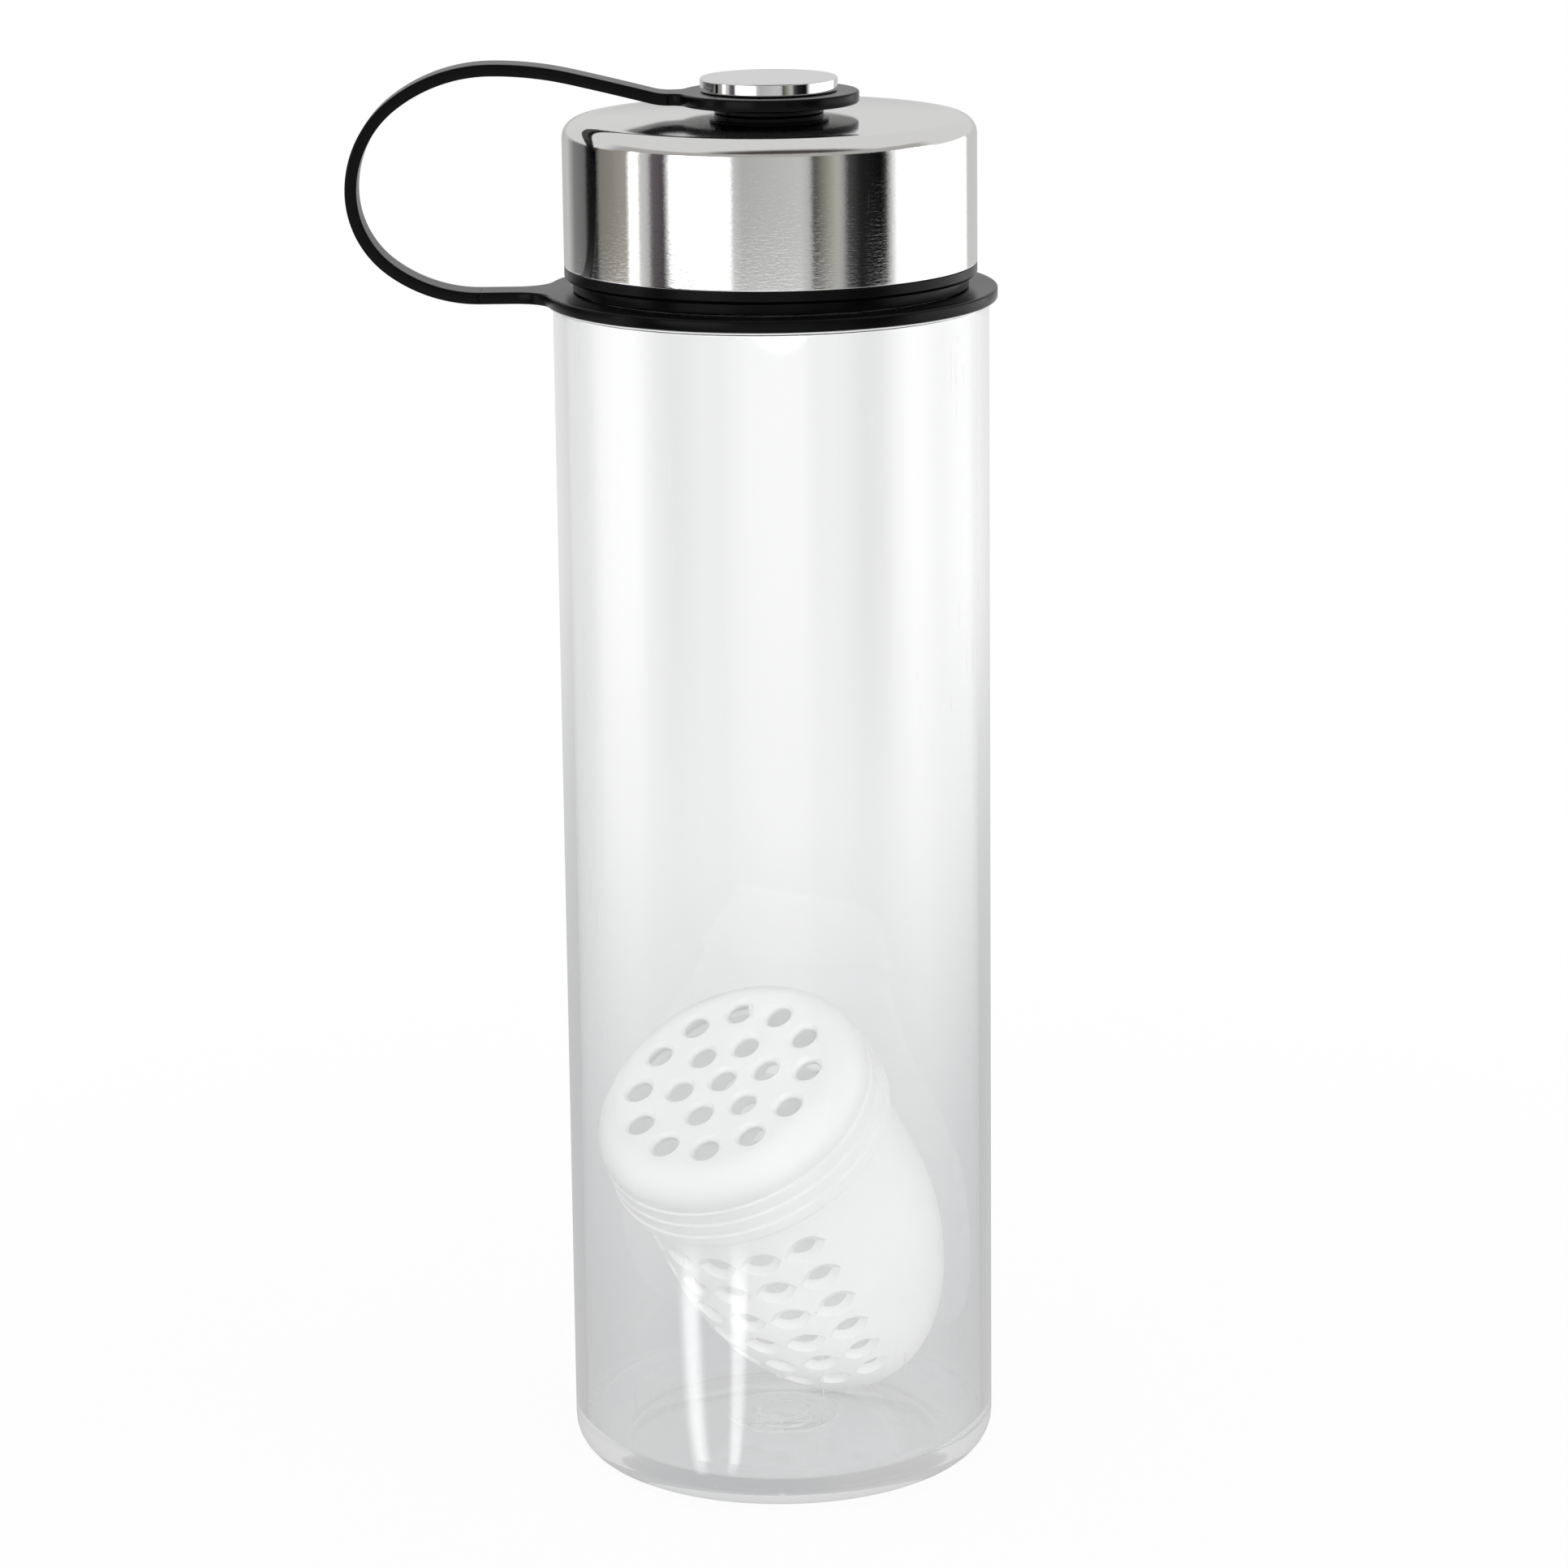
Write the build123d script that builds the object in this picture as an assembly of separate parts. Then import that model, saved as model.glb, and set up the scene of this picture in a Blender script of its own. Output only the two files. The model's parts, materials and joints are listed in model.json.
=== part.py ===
from build123d import *
from math import cos, degrees, hypot, radians, sin, sqrt, tan
import os

# A fruit infuser water bottle: a clear bottle with a wide neck, a steel-covered screw cap held
# by a flat tether, and a perforated two-piece fruit capsule that leans loose inside.
# Millimetres, +Z up. The origin is on the bottle's axis, in the plane that it stands on.

# Clear bottle
body_radius = 36.5
body_height = 202.3
body_wall = 2.0
foot_corner_radius = 6.2
foot_width = 3.8
push_up = 3.8
floor_thickness = 2.5
floor_edge_thickness = 2.8
floor_flat_width = 7.0
floor_corner_radius = 5.5
gate_radius = 4.5
gate_depth = 0.9
gate_ring_radius = 9.6
gate_ring_depth = 0.35
shoulder_radius = 2.0
shoulder_thickness = 2.2
shoulder_width = 5.9
neck_wall = 2.3
neck_height = 26.5
neck_root_radius = 0.5
rim_rounding = 0.7
bead_width = 0.7
bead_height = 1.2

# Tether: one flat moulding with a ring on the neck, a carry loop and an eyelet on the post
tether_thickness = 2.0
strap_width = 7.0
ring_width = 7.0
ring_tab_reach = 10.6
ring_tab_blend = 6.0
eyelet_width = 6.7
eyelet_tab_reach = 1.5
eyelet_tab_blend = 2.0
tether_edge_chamfer = 0.35

# Carry loop: how far it stands out, how high its crest is, and the bend beside the eyelet
loop_reach = 70.6
loop_crest_rise = 5.15
loop_crest_share = 0.556
loop_side_share = 0.467
eyelet_bend_radius = 12.0
eyelet_bend_angle = 14.5

# Screw cap: black inner cap under a drawn steel cover
skirt_wall = 2.0
cap_corner_radius = 3.0
cap_crown = 0.8
sheet_thickness = 0.5
cap_plate_thickness = 1.75
lip_height = 2.1
lip_chamfer = 0.5
lip_gap = 2.05
lip_foot_width = 1.2
lip_foot_gap = 0.45
thread_height = 1.0
seal_thickness = 1.6
seal_width = 6.0
rib_width = 1.5
rib_drop = 2.2

# Post, button and their screw
post_rise = 1.5
post_radius = 9.15
post_lip_radius = 10.0
post_lip_height = 0.55
post_lip_rounding = 0.2
journal_radius = 8.0
spigot_radius = 5.1
boss_radius = 3.0
boss_end_gap = 0.6
button_radius = 11.43
button_thickness = 2.27
button_edge_rounding = 0.35
screw_radius = 2.0
screw_head_radius = 4.0
screw_head_height = 2.4
screw_head_rounding = 0.9
screw_engagement = 4.6
screw_socket_width = 2.5
screw_socket_depth = 1.3
washer_radius = 5.5
washer_thickness = 0.8

# Fruit capsule, measured along its own axis from the tip of its rounded end
capsule_length = 75.4
capsule_wall = 1.3
cup_belly_radius = 24.0
cup_belly_height = 39.6
cup_mouth_radius = 23.25
cup_rim_gap = 0.4
lid_height = 14.4
lid_radius = 25.2
lid_corner_radius = 6.5
lid_face_thickness = 1.5
ridge_count = 3
ridge_pitch = 2.6
ridge_depth = 0.35
lid_hole_radius = 2.2
lid_hole_sink = 0.6
lid_ring_counts = (1, 6, 12)
lid_ring_pitch = 7.8
lid_ring_start_angles = (0.0, -29.0, -8.0)
capsule_heading = -128.2

# Scooped holes of the cup: columns in two panels, with plain strips between them
scoop_rows = 6
scoop_top_drop = 7.9
scoop_lowest_height = 17.6
scoop_row_web = 1.9
scoop_columns = 5
scoop_column_angle = 20.0
scoop_panels = 2
scoop_panel_heading = -81.0
scoop_web = 1.1
scoop_taper = 45.0

# Fits and clearances
seat_gap = 0.25
thread_gap = 0.3
sheet_fit = 0.1
running_gap = 0.1
swivel_gap = 0.3
screw_gap = 0.1
lid_gap = 0.3
capsule_gap = 0.3
overrun = 1.0
full_turn = 360.0

# Heights that the sizes above lead to
bottle_rim = body_height + neck_height
ring_bottom = body_height + seat_gap
ring_top = ring_bottom + tether_thickness
bead_bottom = ring_top + seat_gap
lip_bottom = ring_top + lip_gap
cover_bottom = lip_bottom + lip_height
seal_bottom = bottle_rim + running_gap
seal_top = seal_bottom + seal_thickness
plate_bottom = seal_top + running_gap
cover_edge_top = plate_bottom + cap_plate_thickness + sheet_fit + sheet_thickness
cover_top = cover_edge_top + cap_crown
eyelet_bottom = cover_top + post_rise
eyelet_top = eyelet_bottom + tether_thickness
button_bottom = eyelet_top + running_gap
button_top = button_bottom + button_thickness

# Radii that the sizes above lead to
neck_radius = body_radius - shoulder_width
bore_radius = neck_radius - neck_wall
inner_radius = body_radius - body_wall
foot_inner_radius = body_radius - foot_corner_radius - foot_width
ring_radius = neck_radius + swivel_gap + ring_width
eyelet_radius = journal_radius + swivel_gap + eyelet_width
thread_bore_radius = neck_radius + thread_height + thread_gap
cap_radius = thread_bore_radius + skirt_wall + sheet_fit + sheet_thickness
seal_outer_radius = thread_bore_radius - swivel_gap
seal_inner_radius = seal_outer_radius - seal_width
cup_mouth_height = capsule_length - lid_height
scoop_row_pitch = (cup_mouth_height - scoop_top_drop - scoop_lowest_height) / (scoop_rows - 1)
scoop_half_height = (scoop_row_pitch - scoop_row_web) / 2


def turned(outline):
    """Solid of revolution about Z from a closed outline drawn as (radius, height)."""
    return revolve(Plane.XZ * outline, Axis.Z)


def corner_near(outline, radius, height):
    """The outline's corner nearest to a (radius, height) place."""
    return outline.vertices().sort_by_distance((radius, height, 0))[0]


def ring_solid(outer, inner, low, high):
    """Plain ring about Z."""
    outline = Polyline((inner, low), (outer, low), (outer, high), (inner, high), close=True)
    return turned(make_face(outline))


def floor_height(radius):
    """Height of the inside floor's dome at a distance from the axis."""
    edge = inner_radius - floor_flat_width
    rise = push_up + floor_thickness - floor_edge_thickness
    dome_radius = (edge**2 + rise**2) / (rise + rise)
    centre = push_up + floor_thickness - dome_radius
    return centre + sqrt(dome_radius**2 - min(radius, edge) ** 2)


# Clear bottle

def make_bottle():
    """Blown bottle: straight body, pushed-up base, square shoulder and plain wide neck."""
    dome = TangentArc((0, push_up), (foot_inner_radius, 0), tangent=(1, 0))
    outside = make_face(
        dome
        + Polyline(
            (foot_inner_radius, 0),
            (body_radius, 0),
            (body_radius, body_height),
            (neck_radius, body_height),
            (neck_radius, bottle_rim),
            (0, bottle_rim),
            (0, push_up),
        )
    )
    outside = fillet(corner_near(outside, body_radius, 0), foot_corner_radius)
    outside = fillet(corner_near(outside, body_radius, body_height), shoulder_radius)
    outside = fillet(corner_near(outside, neck_radius, body_height), neck_root_radius)
    outside = fillet(corner_near(outside, neck_radius, bottle_rim), rim_rounding)

    floor_top = push_up + floor_thickness
    floor_edge = inner_radius - floor_flat_width
    ceiling = body_height - shoulder_thickness
    floor_dome = TangentArc((0, floor_top), (floor_edge, floor_edge_thickness), tangent=(1, 0))
    inside = make_face(
        floor_dome
        + Polyline(
            (floor_edge, floor_edge_thickness),
            (inner_radius, floor_edge_thickness),
            (inner_radius, ceiling),
            (bore_radius, ceiling),
            (bore_radius, bottle_rim + overrun),
            (0, bottle_rim + overrun),
            (0, floor_top),
        )
    )
    inside = fillet(corner_near(inside, inner_radius, floor_edge_thickness), floor_corner_radius)
    inside = fillet(corner_near(inside, inner_radius, ceiling), shoulder_radius)
    inside = fillet(corner_near(inside, bore_radius, ceiling), shoulder_radius)

    bead = make_face(
        Polyline(
            (neck_radius - neck_wall / 2, bead_bottom),
            (neck_radius + bead_width, bead_bottom),
            (neck_radius, bead_bottom + bead_height),
            (neck_radius - neck_wall / 2, bead_bottom + bead_height),
            close=True,
        )
    )
    gate_ring = Pos(0, 0, push_up) * Cylinder(gate_ring_radius, 2 * gate_ring_depth)
    gate = Pos(0, 0, push_up) * Cylinder(gate_radius, 2 * gate_depth)
    return turned(outside) + turned(bead) - turned(inside) - gate_ring - gate


# Tether

def flat_eye(radius, bore, tab_end, blend, low):
    """Flat ring with a tab towards -X, blended where the tab leaves the ring."""
    tab = Pos(-tab_end / 2, 0) * Rectangle(tab_end, strap_width)
    shape = Circle(radius) + tab
    root_x = -sqrt(radius**2 - (strap_width / 2) ** 2)
    roots = shape.vertices().sort_by(lambda corner: abs(corner.X - root_x))[:2]
    shape = fillet(roots, blend) - Circle(bore)
    solid = Pos(0, 0, low) * extrude(shape, tether_thickness)
    tab_end_edges = solid.faces().sort_by(Axis.X)[0].edges()
    rims = [edge for edge in solid.edges().filter_by(Plane.XY) if edge not in tab_end_edges]
    return chamfer(rims, tether_edge_chamfer)


def make_neck_ring():
    """Ring that turns on the neck, under the cap, with the lower root of the carry loop."""
    tab_end = ring_radius + ring_tab_reach
    return flat_eye(ring_radius, neck_radius + swivel_gap, tab_end, ring_tab_blend, ring_bottom)


def make_eyelet():
    """Eyelet that the post turns in, with the upper root of the carry loop."""
    tab_end = eyelet_radius + eyelet_tab_reach
    return flat_eye(eyelet_radius, journal_radius + swivel_gap, tab_end, eyelet_tab_blend, eyelet_bottom)


def biarc(start, start_dir, end, end_dir):
    """Two tangent arcs from one place and direction to another, in the loop's own plane."""
    span = end - start
    turn = 1 - start_dir.dot(end_dir)
    along = span.dot(start_dir + end_dir)
    reach = (sqrt(along**2 + (turn + turn) * span.dot(span)) - along) / (turn + turn)
    middle = (start + end + (start_dir - end_dir) * reach) / 2
    first = TangentArc(start, middle, tangent=start_dir)
    return first + TangentArc(middle, end, tangent=first % 1)


def loop_route():
    """Middle line of the carry loop as (X, Z), from the ring's tab over the crest to the eyelet."""
    half = tether_thickness / 2
    low = Vector(-ring_radius - ring_tab_reach, ring_bottom + half)
    high = Vector(-eyelet_radius - eyelet_tab_reach, eyelet_bottom + half)
    crest_height = high.Y + loop_crest_rise
    side = Vector(half - loop_reach, low.Y + (crest_height - low.Y) * loop_side_share)
    crest = Vector(high.X + (side.X - high.X) * loop_crest_share, crest_height)
    slope = radians(eyelet_bend_angle)
    bend = Vector(
        high.X - eyelet_bend_radius * sin(slope),
        high.Y + eyelet_bend_radius * (1 - cos(slope)),
    )
    downhill = Vector(cos(slope), -sin(slope))
    lower = biarc(low, Vector(-1, 0), side, Vector(0, 1))
    upper = biarc(side, Vector(0, 1), crest, Vector(1, 0))
    ramp = biarc(crest, Vector(1, 0), bend, downhill)
    return lower + upper + ramp + TangentArc(bend, high, tangent=downhill)


def make_strap():
    """Flat carry loop, swept along its route."""
    route = Wire((Plane.XZ * loop_route()).edges())
    start = Plane(origin=route @ 0, x_dir=(0, 1, 0), z_dir=route % 0)
    flat = Rectangle(strap_width, tether_thickness)
    section = start * chamfer(flat.vertices(), tether_edge_chamfer)
    return sweep(section, path=route)


# Screw cap

def cap_form(inset, low):
    """Outer form of the cap, drawn in by an inset: straight side, round corner and slight crown."""
    radius = cap_radius - inset
    shoulder = cap_radius - cap_corner_radius
    corner = CenterArc(
        (shoulder, cover_edge_top - cap_corner_radius), cap_corner_radius - inset, 0, full_turn / 4
    )
    crown = TangentArc(
        (0, cover_top - inset), (shoulder, cover_edge_top - inset), tangent=(1, 0)
    )
    side = Polyline(
        (radius, cover_edge_top - cap_corner_radius), (radius, low), (0, low), (0, cover_top - inset)
    )
    return turned(make_face(crown + corner + side))


def make_steel_cover():
    """Drawn and polished steel cover, open below, with a hole for the post."""
    inside = cap_form(sheet_thickness, cover_bottom - overrun)
    hole = Pos(0, 0, cover_top) * Cylinder(spigot_radius + sheet_fit, cap_crown + sheet_thickness + overrun)
    return cap_form(0, cover_bottom) - inside - hole


def make_inner_cap():
    """Black inner cap: threaded skirt, lip under the cover with its foot, and the seal's rib."""
    body = cap_form(sheet_thickness + sheet_fit, lip_bottom)
    lip = ring_solid(cap_radius, thread_bore_radius, lip_bottom, cover_bottom)
    lip = chamfer(lip.edges().group_by(Axis.Z)[0].sort_by(SortBy.LENGTH)[-1], lip_chamfer)
    foot_radius = thread_bore_radius + lip_foot_width
    foot = ring_solid(foot_radius, thread_bore_radius, ring_top + lip_foot_gap, lip_bottom)
    skirt_depth = plate_bottom - lip_bottom + overrun
    hollow = Pos(0, 0, plate_bottom - skirt_depth / 2) * Cylinder(thread_bore_radius, skirt_depth)
    hole = Pos(0, 0, plate_bottom) * Cylinder(
        spigot_radius + screw_gap, 2 * (cap_plate_thickness + cap_crown + overrun)
    )
    rib_outer = seal_inner_radius - swivel_gap
    rib = ring_solid(rib_outer, rib_outer - rib_width, plate_bottom - rib_drop, plate_bottom)
    return body + lip - hollow + foot + rib - hole


def make_seal():
    """Flat silicone seal between the bottle's rim and the inner cap."""
    return ring_solid(seal_outer_radius, seal_inner_radius, seal_bottom, seal_top)


# Post, button and screw

def make_post():
    """Moulded post: spigot through the cover, foot, lip under the eyelet, and journal."""
    lip_top = eyelet_bottom - running_gap
    outline = Polyline(
        (boss_radius + screw_gap, plate_bottom),
        (spigot_radius, plate_bottom),
        (spigot_radius, cover_top),
        (post_radius, cover_top),
        (post_radius, lip_top - post_lip_height),
        (post_lip_radius, lip_top - post_lip_height),
        (post_lip_radius, lip_top),
        (journal_radius, lip_top),
        (journal_radius, button_bottom),
        (boss_radius + screw_gap, button_bottom),
        close=True,
    )
    face = fillet(corner_near(make_face(outline), post_lip_radius, lip_top), post_lip_rounding)
    return turned(face)


def make_button():
    """Chromed button with a threaded boss that the screw pulls down onto the post."""
    boss_end = plate_bottom + boss_end_gap
    outline = Polyline(
        (0, button_top),
        (button_radius, button_top),
        (button_radius, button_bottom),
        (boss_radius, button_bottom),
        (boss_radius, boss_end),
        (0, boss_end),
        close=True,
    )
    face = fillet(corner_near(make_face(outline), button_radius, button_top), button_edge_rounding)
    face = fillet(corner_near(face, button_radius, button_bottom), button_edge_rounding / 2)
    depth = screw_engagement + screw_gap
    bore = Cylinder(screw_radius + screw_gap, depth + overrun)
    bore = Pos(0, 0, boss_end + (depth - overrun) / 2) * bore
    return turned(face) - bore


def make_washer():
    """Sealing washer under the screw's head."""
    low = plate_bottom - washer_thickness
    return ring_solid(washer_radius, screw_radius + screw_gap, low, plate_bottom)


def make_screw():
    """Button-head screw, put in from inside the cap."""
    seat = plate_bottom - washer_thickness
    end = plate_bottom + boss_end_gap + screw_engagement
    outline = Polyline(
        (0, seat - screw_head_height),
        (screw_head_radius, seat - screw_head_height),
        (screw_head_radius, seat),
        (screw_radius, seat),
        (screw_radius, end),
        (0, end),
        close=True,
    )
    corner = corner_near(make_face(outline), screw_head_radius, seat - screw_head_height)
    head = turned(fillet(corner, screw_head_rounding))
    socket = extrude(RegularPolygon(screw_socket_width / 2, 6, major_radius=False), screw_socket_depth)
    return head - Pos(0, 0, seat - screw_head_height) * socket


# Fruit capsule

def capsule_lean():
    """Tilt at which the capsule's lid and rounded end both reach the bottle's wall, in radians."""
    room = 2 * (inner_radius - capsule_gap)
    low, high = 0.0, radians(full_turn / 4)
    for _ in range(60):
        tilt = (low + high) / 2
        lid_side = (
            (capsule_length - lid_corner_radius) * sin(tilt)
            + (lid_radius - lid_corner_radius) * cos(tilt)
            + lid_corner_radius
        )
        end_side = hypot(cup_belly_height * sin(tilt), cup_belly_radius * cos(tilt))
        if lid_side + end_side - cup_belly_height * sin(tilt) < room:
            low = tilt
        else:
            high = tilt
    return low


def capsule_seat():
    """Plane at the capsule's tip: its axis leans along the heading, its end rests on the floor."""
    tilt = capsule_lean()
    heading = radians(capsule_heading)
    end_side = hypot(cup_belly_height * sin(tilt), cup_belly_radius * cos(tilt))
    tip_offset = inner_radius - capsule_gap - end_side + cup_belly_height * sin(tilt)
    steps = 90
    tip_height = 0.0
    for step in range(steps):
        angle = radians(step * full_turn / 4 / steps)
        along = cup_belly_height * (1 - cos(angle))
        across = cup_belly_radius * sin(angle)
        for side in (across, -across):
            distance = tip_offset - along * sin(tilt) + side * cos(tilt)
            height = along * cos(tilt) + side * sin(tilt)
            tip_height = max(tip_height, floor_height(abs(distance)) + capsule_gap - height)
    lean = Vector(cos(heading), sin(heading), 0)
    origin = lean * -tip_offset + Vector(0, 0, tip_height)
    axis = lean * sin(tilt) + Vector(0, 0, cos(tilt))
    return Plane(origin=origin, x_dir=Vector(0, 0, 1).cross(lean), z_dir=axis)


def cup_radius_at(height):
    """Outside radius of the cup: half an ellipse below the belly, a slight taper above it."""
    if height < cup_belly_height:
        return cup_belly_radius * sqrt(1 - (1 - height / cup_belly_height) ** 2)
    share = (height - cup_belly_height) / (cup_mouth_height - cup_belly_height)
    return cup_belly_radius + (cup_mouth_radius - cup_belly_radius) * min(share, 1)


def cup_form(inset, top):
    """Filled form of the cup, drawn in by an inset: a quarter ellipse turned, then a slight taper."""
    radius = cup_belly_radius - inset
    quarter_weights = (1, cos(radians(full_turn / 8)), 1)
    bottom = Bezier((0, inset), (radius, inset), (radius, cup_belly_height), weights=quarter_weights)
    side = Polyline(
        (radius, cup_belly_height),
        (cup_mouth_radius - inset, cup_mouth_height),
        (cup_mouth_radius - inset, top),
        (0, top),
        (0, inset),
    )
    return turned(make_face(bottom + side))


def scoop_cutter(radius):
    """Almond-shaped cutter that narrows inwards: what two shallow cones have in common."""
    half_length = (radians(scoop_column_angle) * radius - scoop_web) / 2
    side_radius = (half_length**2 + scoop_half_height**2) / (2 * scoop_half_height)
    slope = tan(radians(scoop_taper))
    inward = capsule_wall + overrun / 2
    cone = Cone(side_radius - inward * slope, side_radius + overrun * slope, inward + overrun)
    cone = Pos(0, side_radius - scoop_half_height, (overrun - inward) / 2) * cone
    return cone & mirror(cone, about=Plane.XZ)


def scoop_seat(outward, height):
    """Plane on the cup's surface: x across the cup, z straight out of the surface."""
    radius = cup_radius_at(height)
    fall = min(height - cup_belly_height, 0) / cup_belly_height**2
    normal = outward * (radius / cup_belly_radius**2) + Vector(0, 0, fall)
    place = outward * radius + Vector(0, 0, height)
    return Plane(origin=place, x_dir=Vector(0, 0, 1).cross(outward), z_dir=normal)


def make_scoops():
    """Cutters for all the cup's dished holes: rows and columns in each panel."""
    cutters = []
    for row in range(scoop_rows):
        height = scoop_lowest_height + row * scoop_row_pitch
        cutter = scoop_cutter(cup_radius_at(height))
        for panel in range(scoop_panels):
            middle = scoop_panel_heading + panel * full_turn / scoop_panels
            for column in range(scoop_columns):
                angle = radians(middle + (column - (scoop_columns - 1) / 2) * scoop_column_angle)
                outward = Vector(cos(angle), sin(angle), 0)
                cutters.append(scoop_seat(outward, height) * cutter)
    return cutters


def make_cup(seat):
    """Capsule cup: thin rounded cup with panels of scooped holes."""
    top = capsule_length - lid_corner_radius - cup_rim_gap
    shell = cup_form(0, top) - cup_form(capsule_wall, top + overrun)
    return seat * (shell - make_scoops())


def make_lid(seat):
    """Capsule lid: rounded cap with a ridged skirt and rings of countersunk holes."""
    outline = Polyline(
        (0, capsule_length),
        (lid_radius, capsule_length),
        (lid_radius, cup_mouth_height),
        (0, cup_mouth_height),
        close=True,
    )
    outside = fillet(corner_near(make_face(outline), lid_radius, capsule_length), lid_corner_radius)
    hollow_radius = cup_mouth_radius + lid_gap
    ceiling = capsule_length - lid_face_thickness
    inner = Polyline(
        (0, ceiling),
        (hollow_radius, ceiling),
        (hollow_radius, cup_mouth_height - overrun),
        (0, cup_mouth_height - overrun),
        close=True,
    )
    inner_corner = corner_near(make_face(inner), hollow_radius, ceiling)
    inside = fillet(inner_corner, lid_corner_radius - lid_face_thickness)
    lid = turned(outside) - turned(inside)
    for ridge in range(ridge_count):
        low = cup_mouth_height + (ridge + 1) * ridge_pitch - ridge_depth
        lid -= ring_solid(lid_radius + overrun, lid_radius - ridge_depth, low, low + ridge_depth)
    hole = Cylinder(lid_hole_radius, 2 * (lid_face_thickness + overrun))
    sink = Cone(lid_hole_radius, lid_hole_radius + lid_hole_sink, lid_hole_sink)
    sink = Pos(0, 0, -lid_hole_sink / 2) * sink
    cutters = []
    for ring, count in enumerate(lid_ring_counts):
        for index in range(count):
            angle = radians(lid_ring_start_angles[ring] + index * full_turn / count)
            reach = ring * lid_ring_pitch
            place = Pos(reach * cos(angle), reach * sin(angle), capsule_length)
            cutters += [place * hole, place * sink]
    return seat * (lid - cutters)


def build():
    """Every piece of the bottle by its name."""
    seat = capsule_seat()
    return {
        "bottle_body": make_bottle(),
        "neck_ring": make_neck_ring(),
        "loop_strap": make_strap(),
        "eyelet": make_eyelet(),
        "inner_cap": make_inner_cap(),
        "steel_cover": make_steel_cover(),
        "seal_ring": make_seal(),
        "post": make_post(),
        "button": make_button(),
        "screw_washer": make_washer(),
        "post_screw": make_screw(),
        "infuser_cup": make_cup(seat),
        "infuser_lid": make_lid(seat),
    }


pieces = build()
os.makedirs("parts", exist_ok=True)
for name, piece in pieces.items():
    export_step(piece, f"parts/{name}.step")
    print(f"{name}: {len(piece.solids())} solid, {piece.volume:.0f} mm3")
print(f"capsule tilt {degrees(capsule_lean()):.1f} degrees, overall height {button_top:.2f} mm")
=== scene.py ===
"""Studio picture of a fruit infuser water bottle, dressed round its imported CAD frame.

Sizes are millimetres, as in the part's source, and meshes go into Blender in metres.
"""
import json
import logging
import math
from collections.abc import Callable
from dataclasses import dataclass, field
from enum import Enum
from typing import ClassVar

import bmesh
import bpy
import numpy as np
from mathutils import Matrix, Vector

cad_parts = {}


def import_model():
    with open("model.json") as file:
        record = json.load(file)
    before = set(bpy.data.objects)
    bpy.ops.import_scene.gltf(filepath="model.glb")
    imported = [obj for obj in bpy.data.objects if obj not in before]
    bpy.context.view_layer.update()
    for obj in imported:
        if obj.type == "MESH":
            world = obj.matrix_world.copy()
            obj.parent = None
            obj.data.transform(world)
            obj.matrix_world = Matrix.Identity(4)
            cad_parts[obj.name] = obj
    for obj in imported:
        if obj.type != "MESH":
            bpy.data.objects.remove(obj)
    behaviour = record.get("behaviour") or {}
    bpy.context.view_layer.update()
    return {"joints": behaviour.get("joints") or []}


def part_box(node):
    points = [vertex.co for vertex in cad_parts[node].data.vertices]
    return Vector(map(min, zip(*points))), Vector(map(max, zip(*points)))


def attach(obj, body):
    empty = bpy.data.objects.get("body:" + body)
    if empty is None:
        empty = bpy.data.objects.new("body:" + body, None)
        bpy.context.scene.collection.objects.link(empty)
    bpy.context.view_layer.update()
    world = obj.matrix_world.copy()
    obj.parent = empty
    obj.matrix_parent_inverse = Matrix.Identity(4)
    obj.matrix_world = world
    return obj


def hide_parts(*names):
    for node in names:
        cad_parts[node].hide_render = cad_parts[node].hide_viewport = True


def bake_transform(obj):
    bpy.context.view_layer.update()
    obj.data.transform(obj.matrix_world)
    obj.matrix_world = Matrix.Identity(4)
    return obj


MM = 0.001
WELD = 1e-6
SAME = 1e-6
FULL_TURN = 2 * math.pi
QUARTER_TURN = math.pi / 2
log = logging.getLogger("infuser_bottle")

Array = np.ndarray
Colour = tuple[float, float, float]
Place = tuple[float, float, float]
Pair = tuple[float, float]
Node = bpy.types.Node
Socket = bpy.types.NodeSocket
Piece = bpy.types.Object

# Roundings of small corners, in millimetres
KEEN = 0.1
CRISP = 0.15
EASED = 0.2
SOFT = 0.25
BLUNT = 0.3


# Surfaces on grids

def unit(vectors: Array) -> Array:
    """Vectors divided by their own length."""
    return vectors / np.linalg.norm(vectors, axis=-1, keepdims=True)


def around(count: int, start: float = 0.0) -> Array:
    """Angles spaced evenly round a full turn from a start."""
    return start + np.arange(count) * FULL_TURN / count


def polar(radii: Array | float, angles: Array | float) -> Array:
    """Points (x, y) at radii and angles about the origin."""
    return np.stack([radii * np.cos(angles), radii * np.sin(angles)], axis=-1)


def at_height(flat: Array, heights: Array | float) -> Array:
    """Points (x, y) put at heights, of which there may be one for a whole row or for all."""
    levels = np.broadcast_to(heights, flat.shape[:-1])
    return np.concatenate([flat, levels[..., None]], axis=-1)


def metres(span: Pair) -> Pair:
    """A span in metres."""
    return span[0] * MM, span[1] * MM


def smooth_step(value: Array, low: float, high: float) -> Array:
    """Rises smoothly from 0 at low to 1 at high."""
    share = np.clip((value - low) / (high - low), 0, 1)
    return share * share * (3 - 2 * share)


def sagged(radii: Array, top: float, edge: float, drop: float) -> Array:
    """Heights on the circle that is level on the axis and falls by a drop at its edge.

    Args:
        radii: distances from the axis.
        top: height on the axis.
        edge: radius of the edge.
        drop: how far the edge lies below the top.

    Returns:
        The height at each radius.
    """
    circle = (edge**2 + drop**2) / (2 * drop)
    return top - circle + np.sqrt(circle**2 - radii**2)


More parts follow.
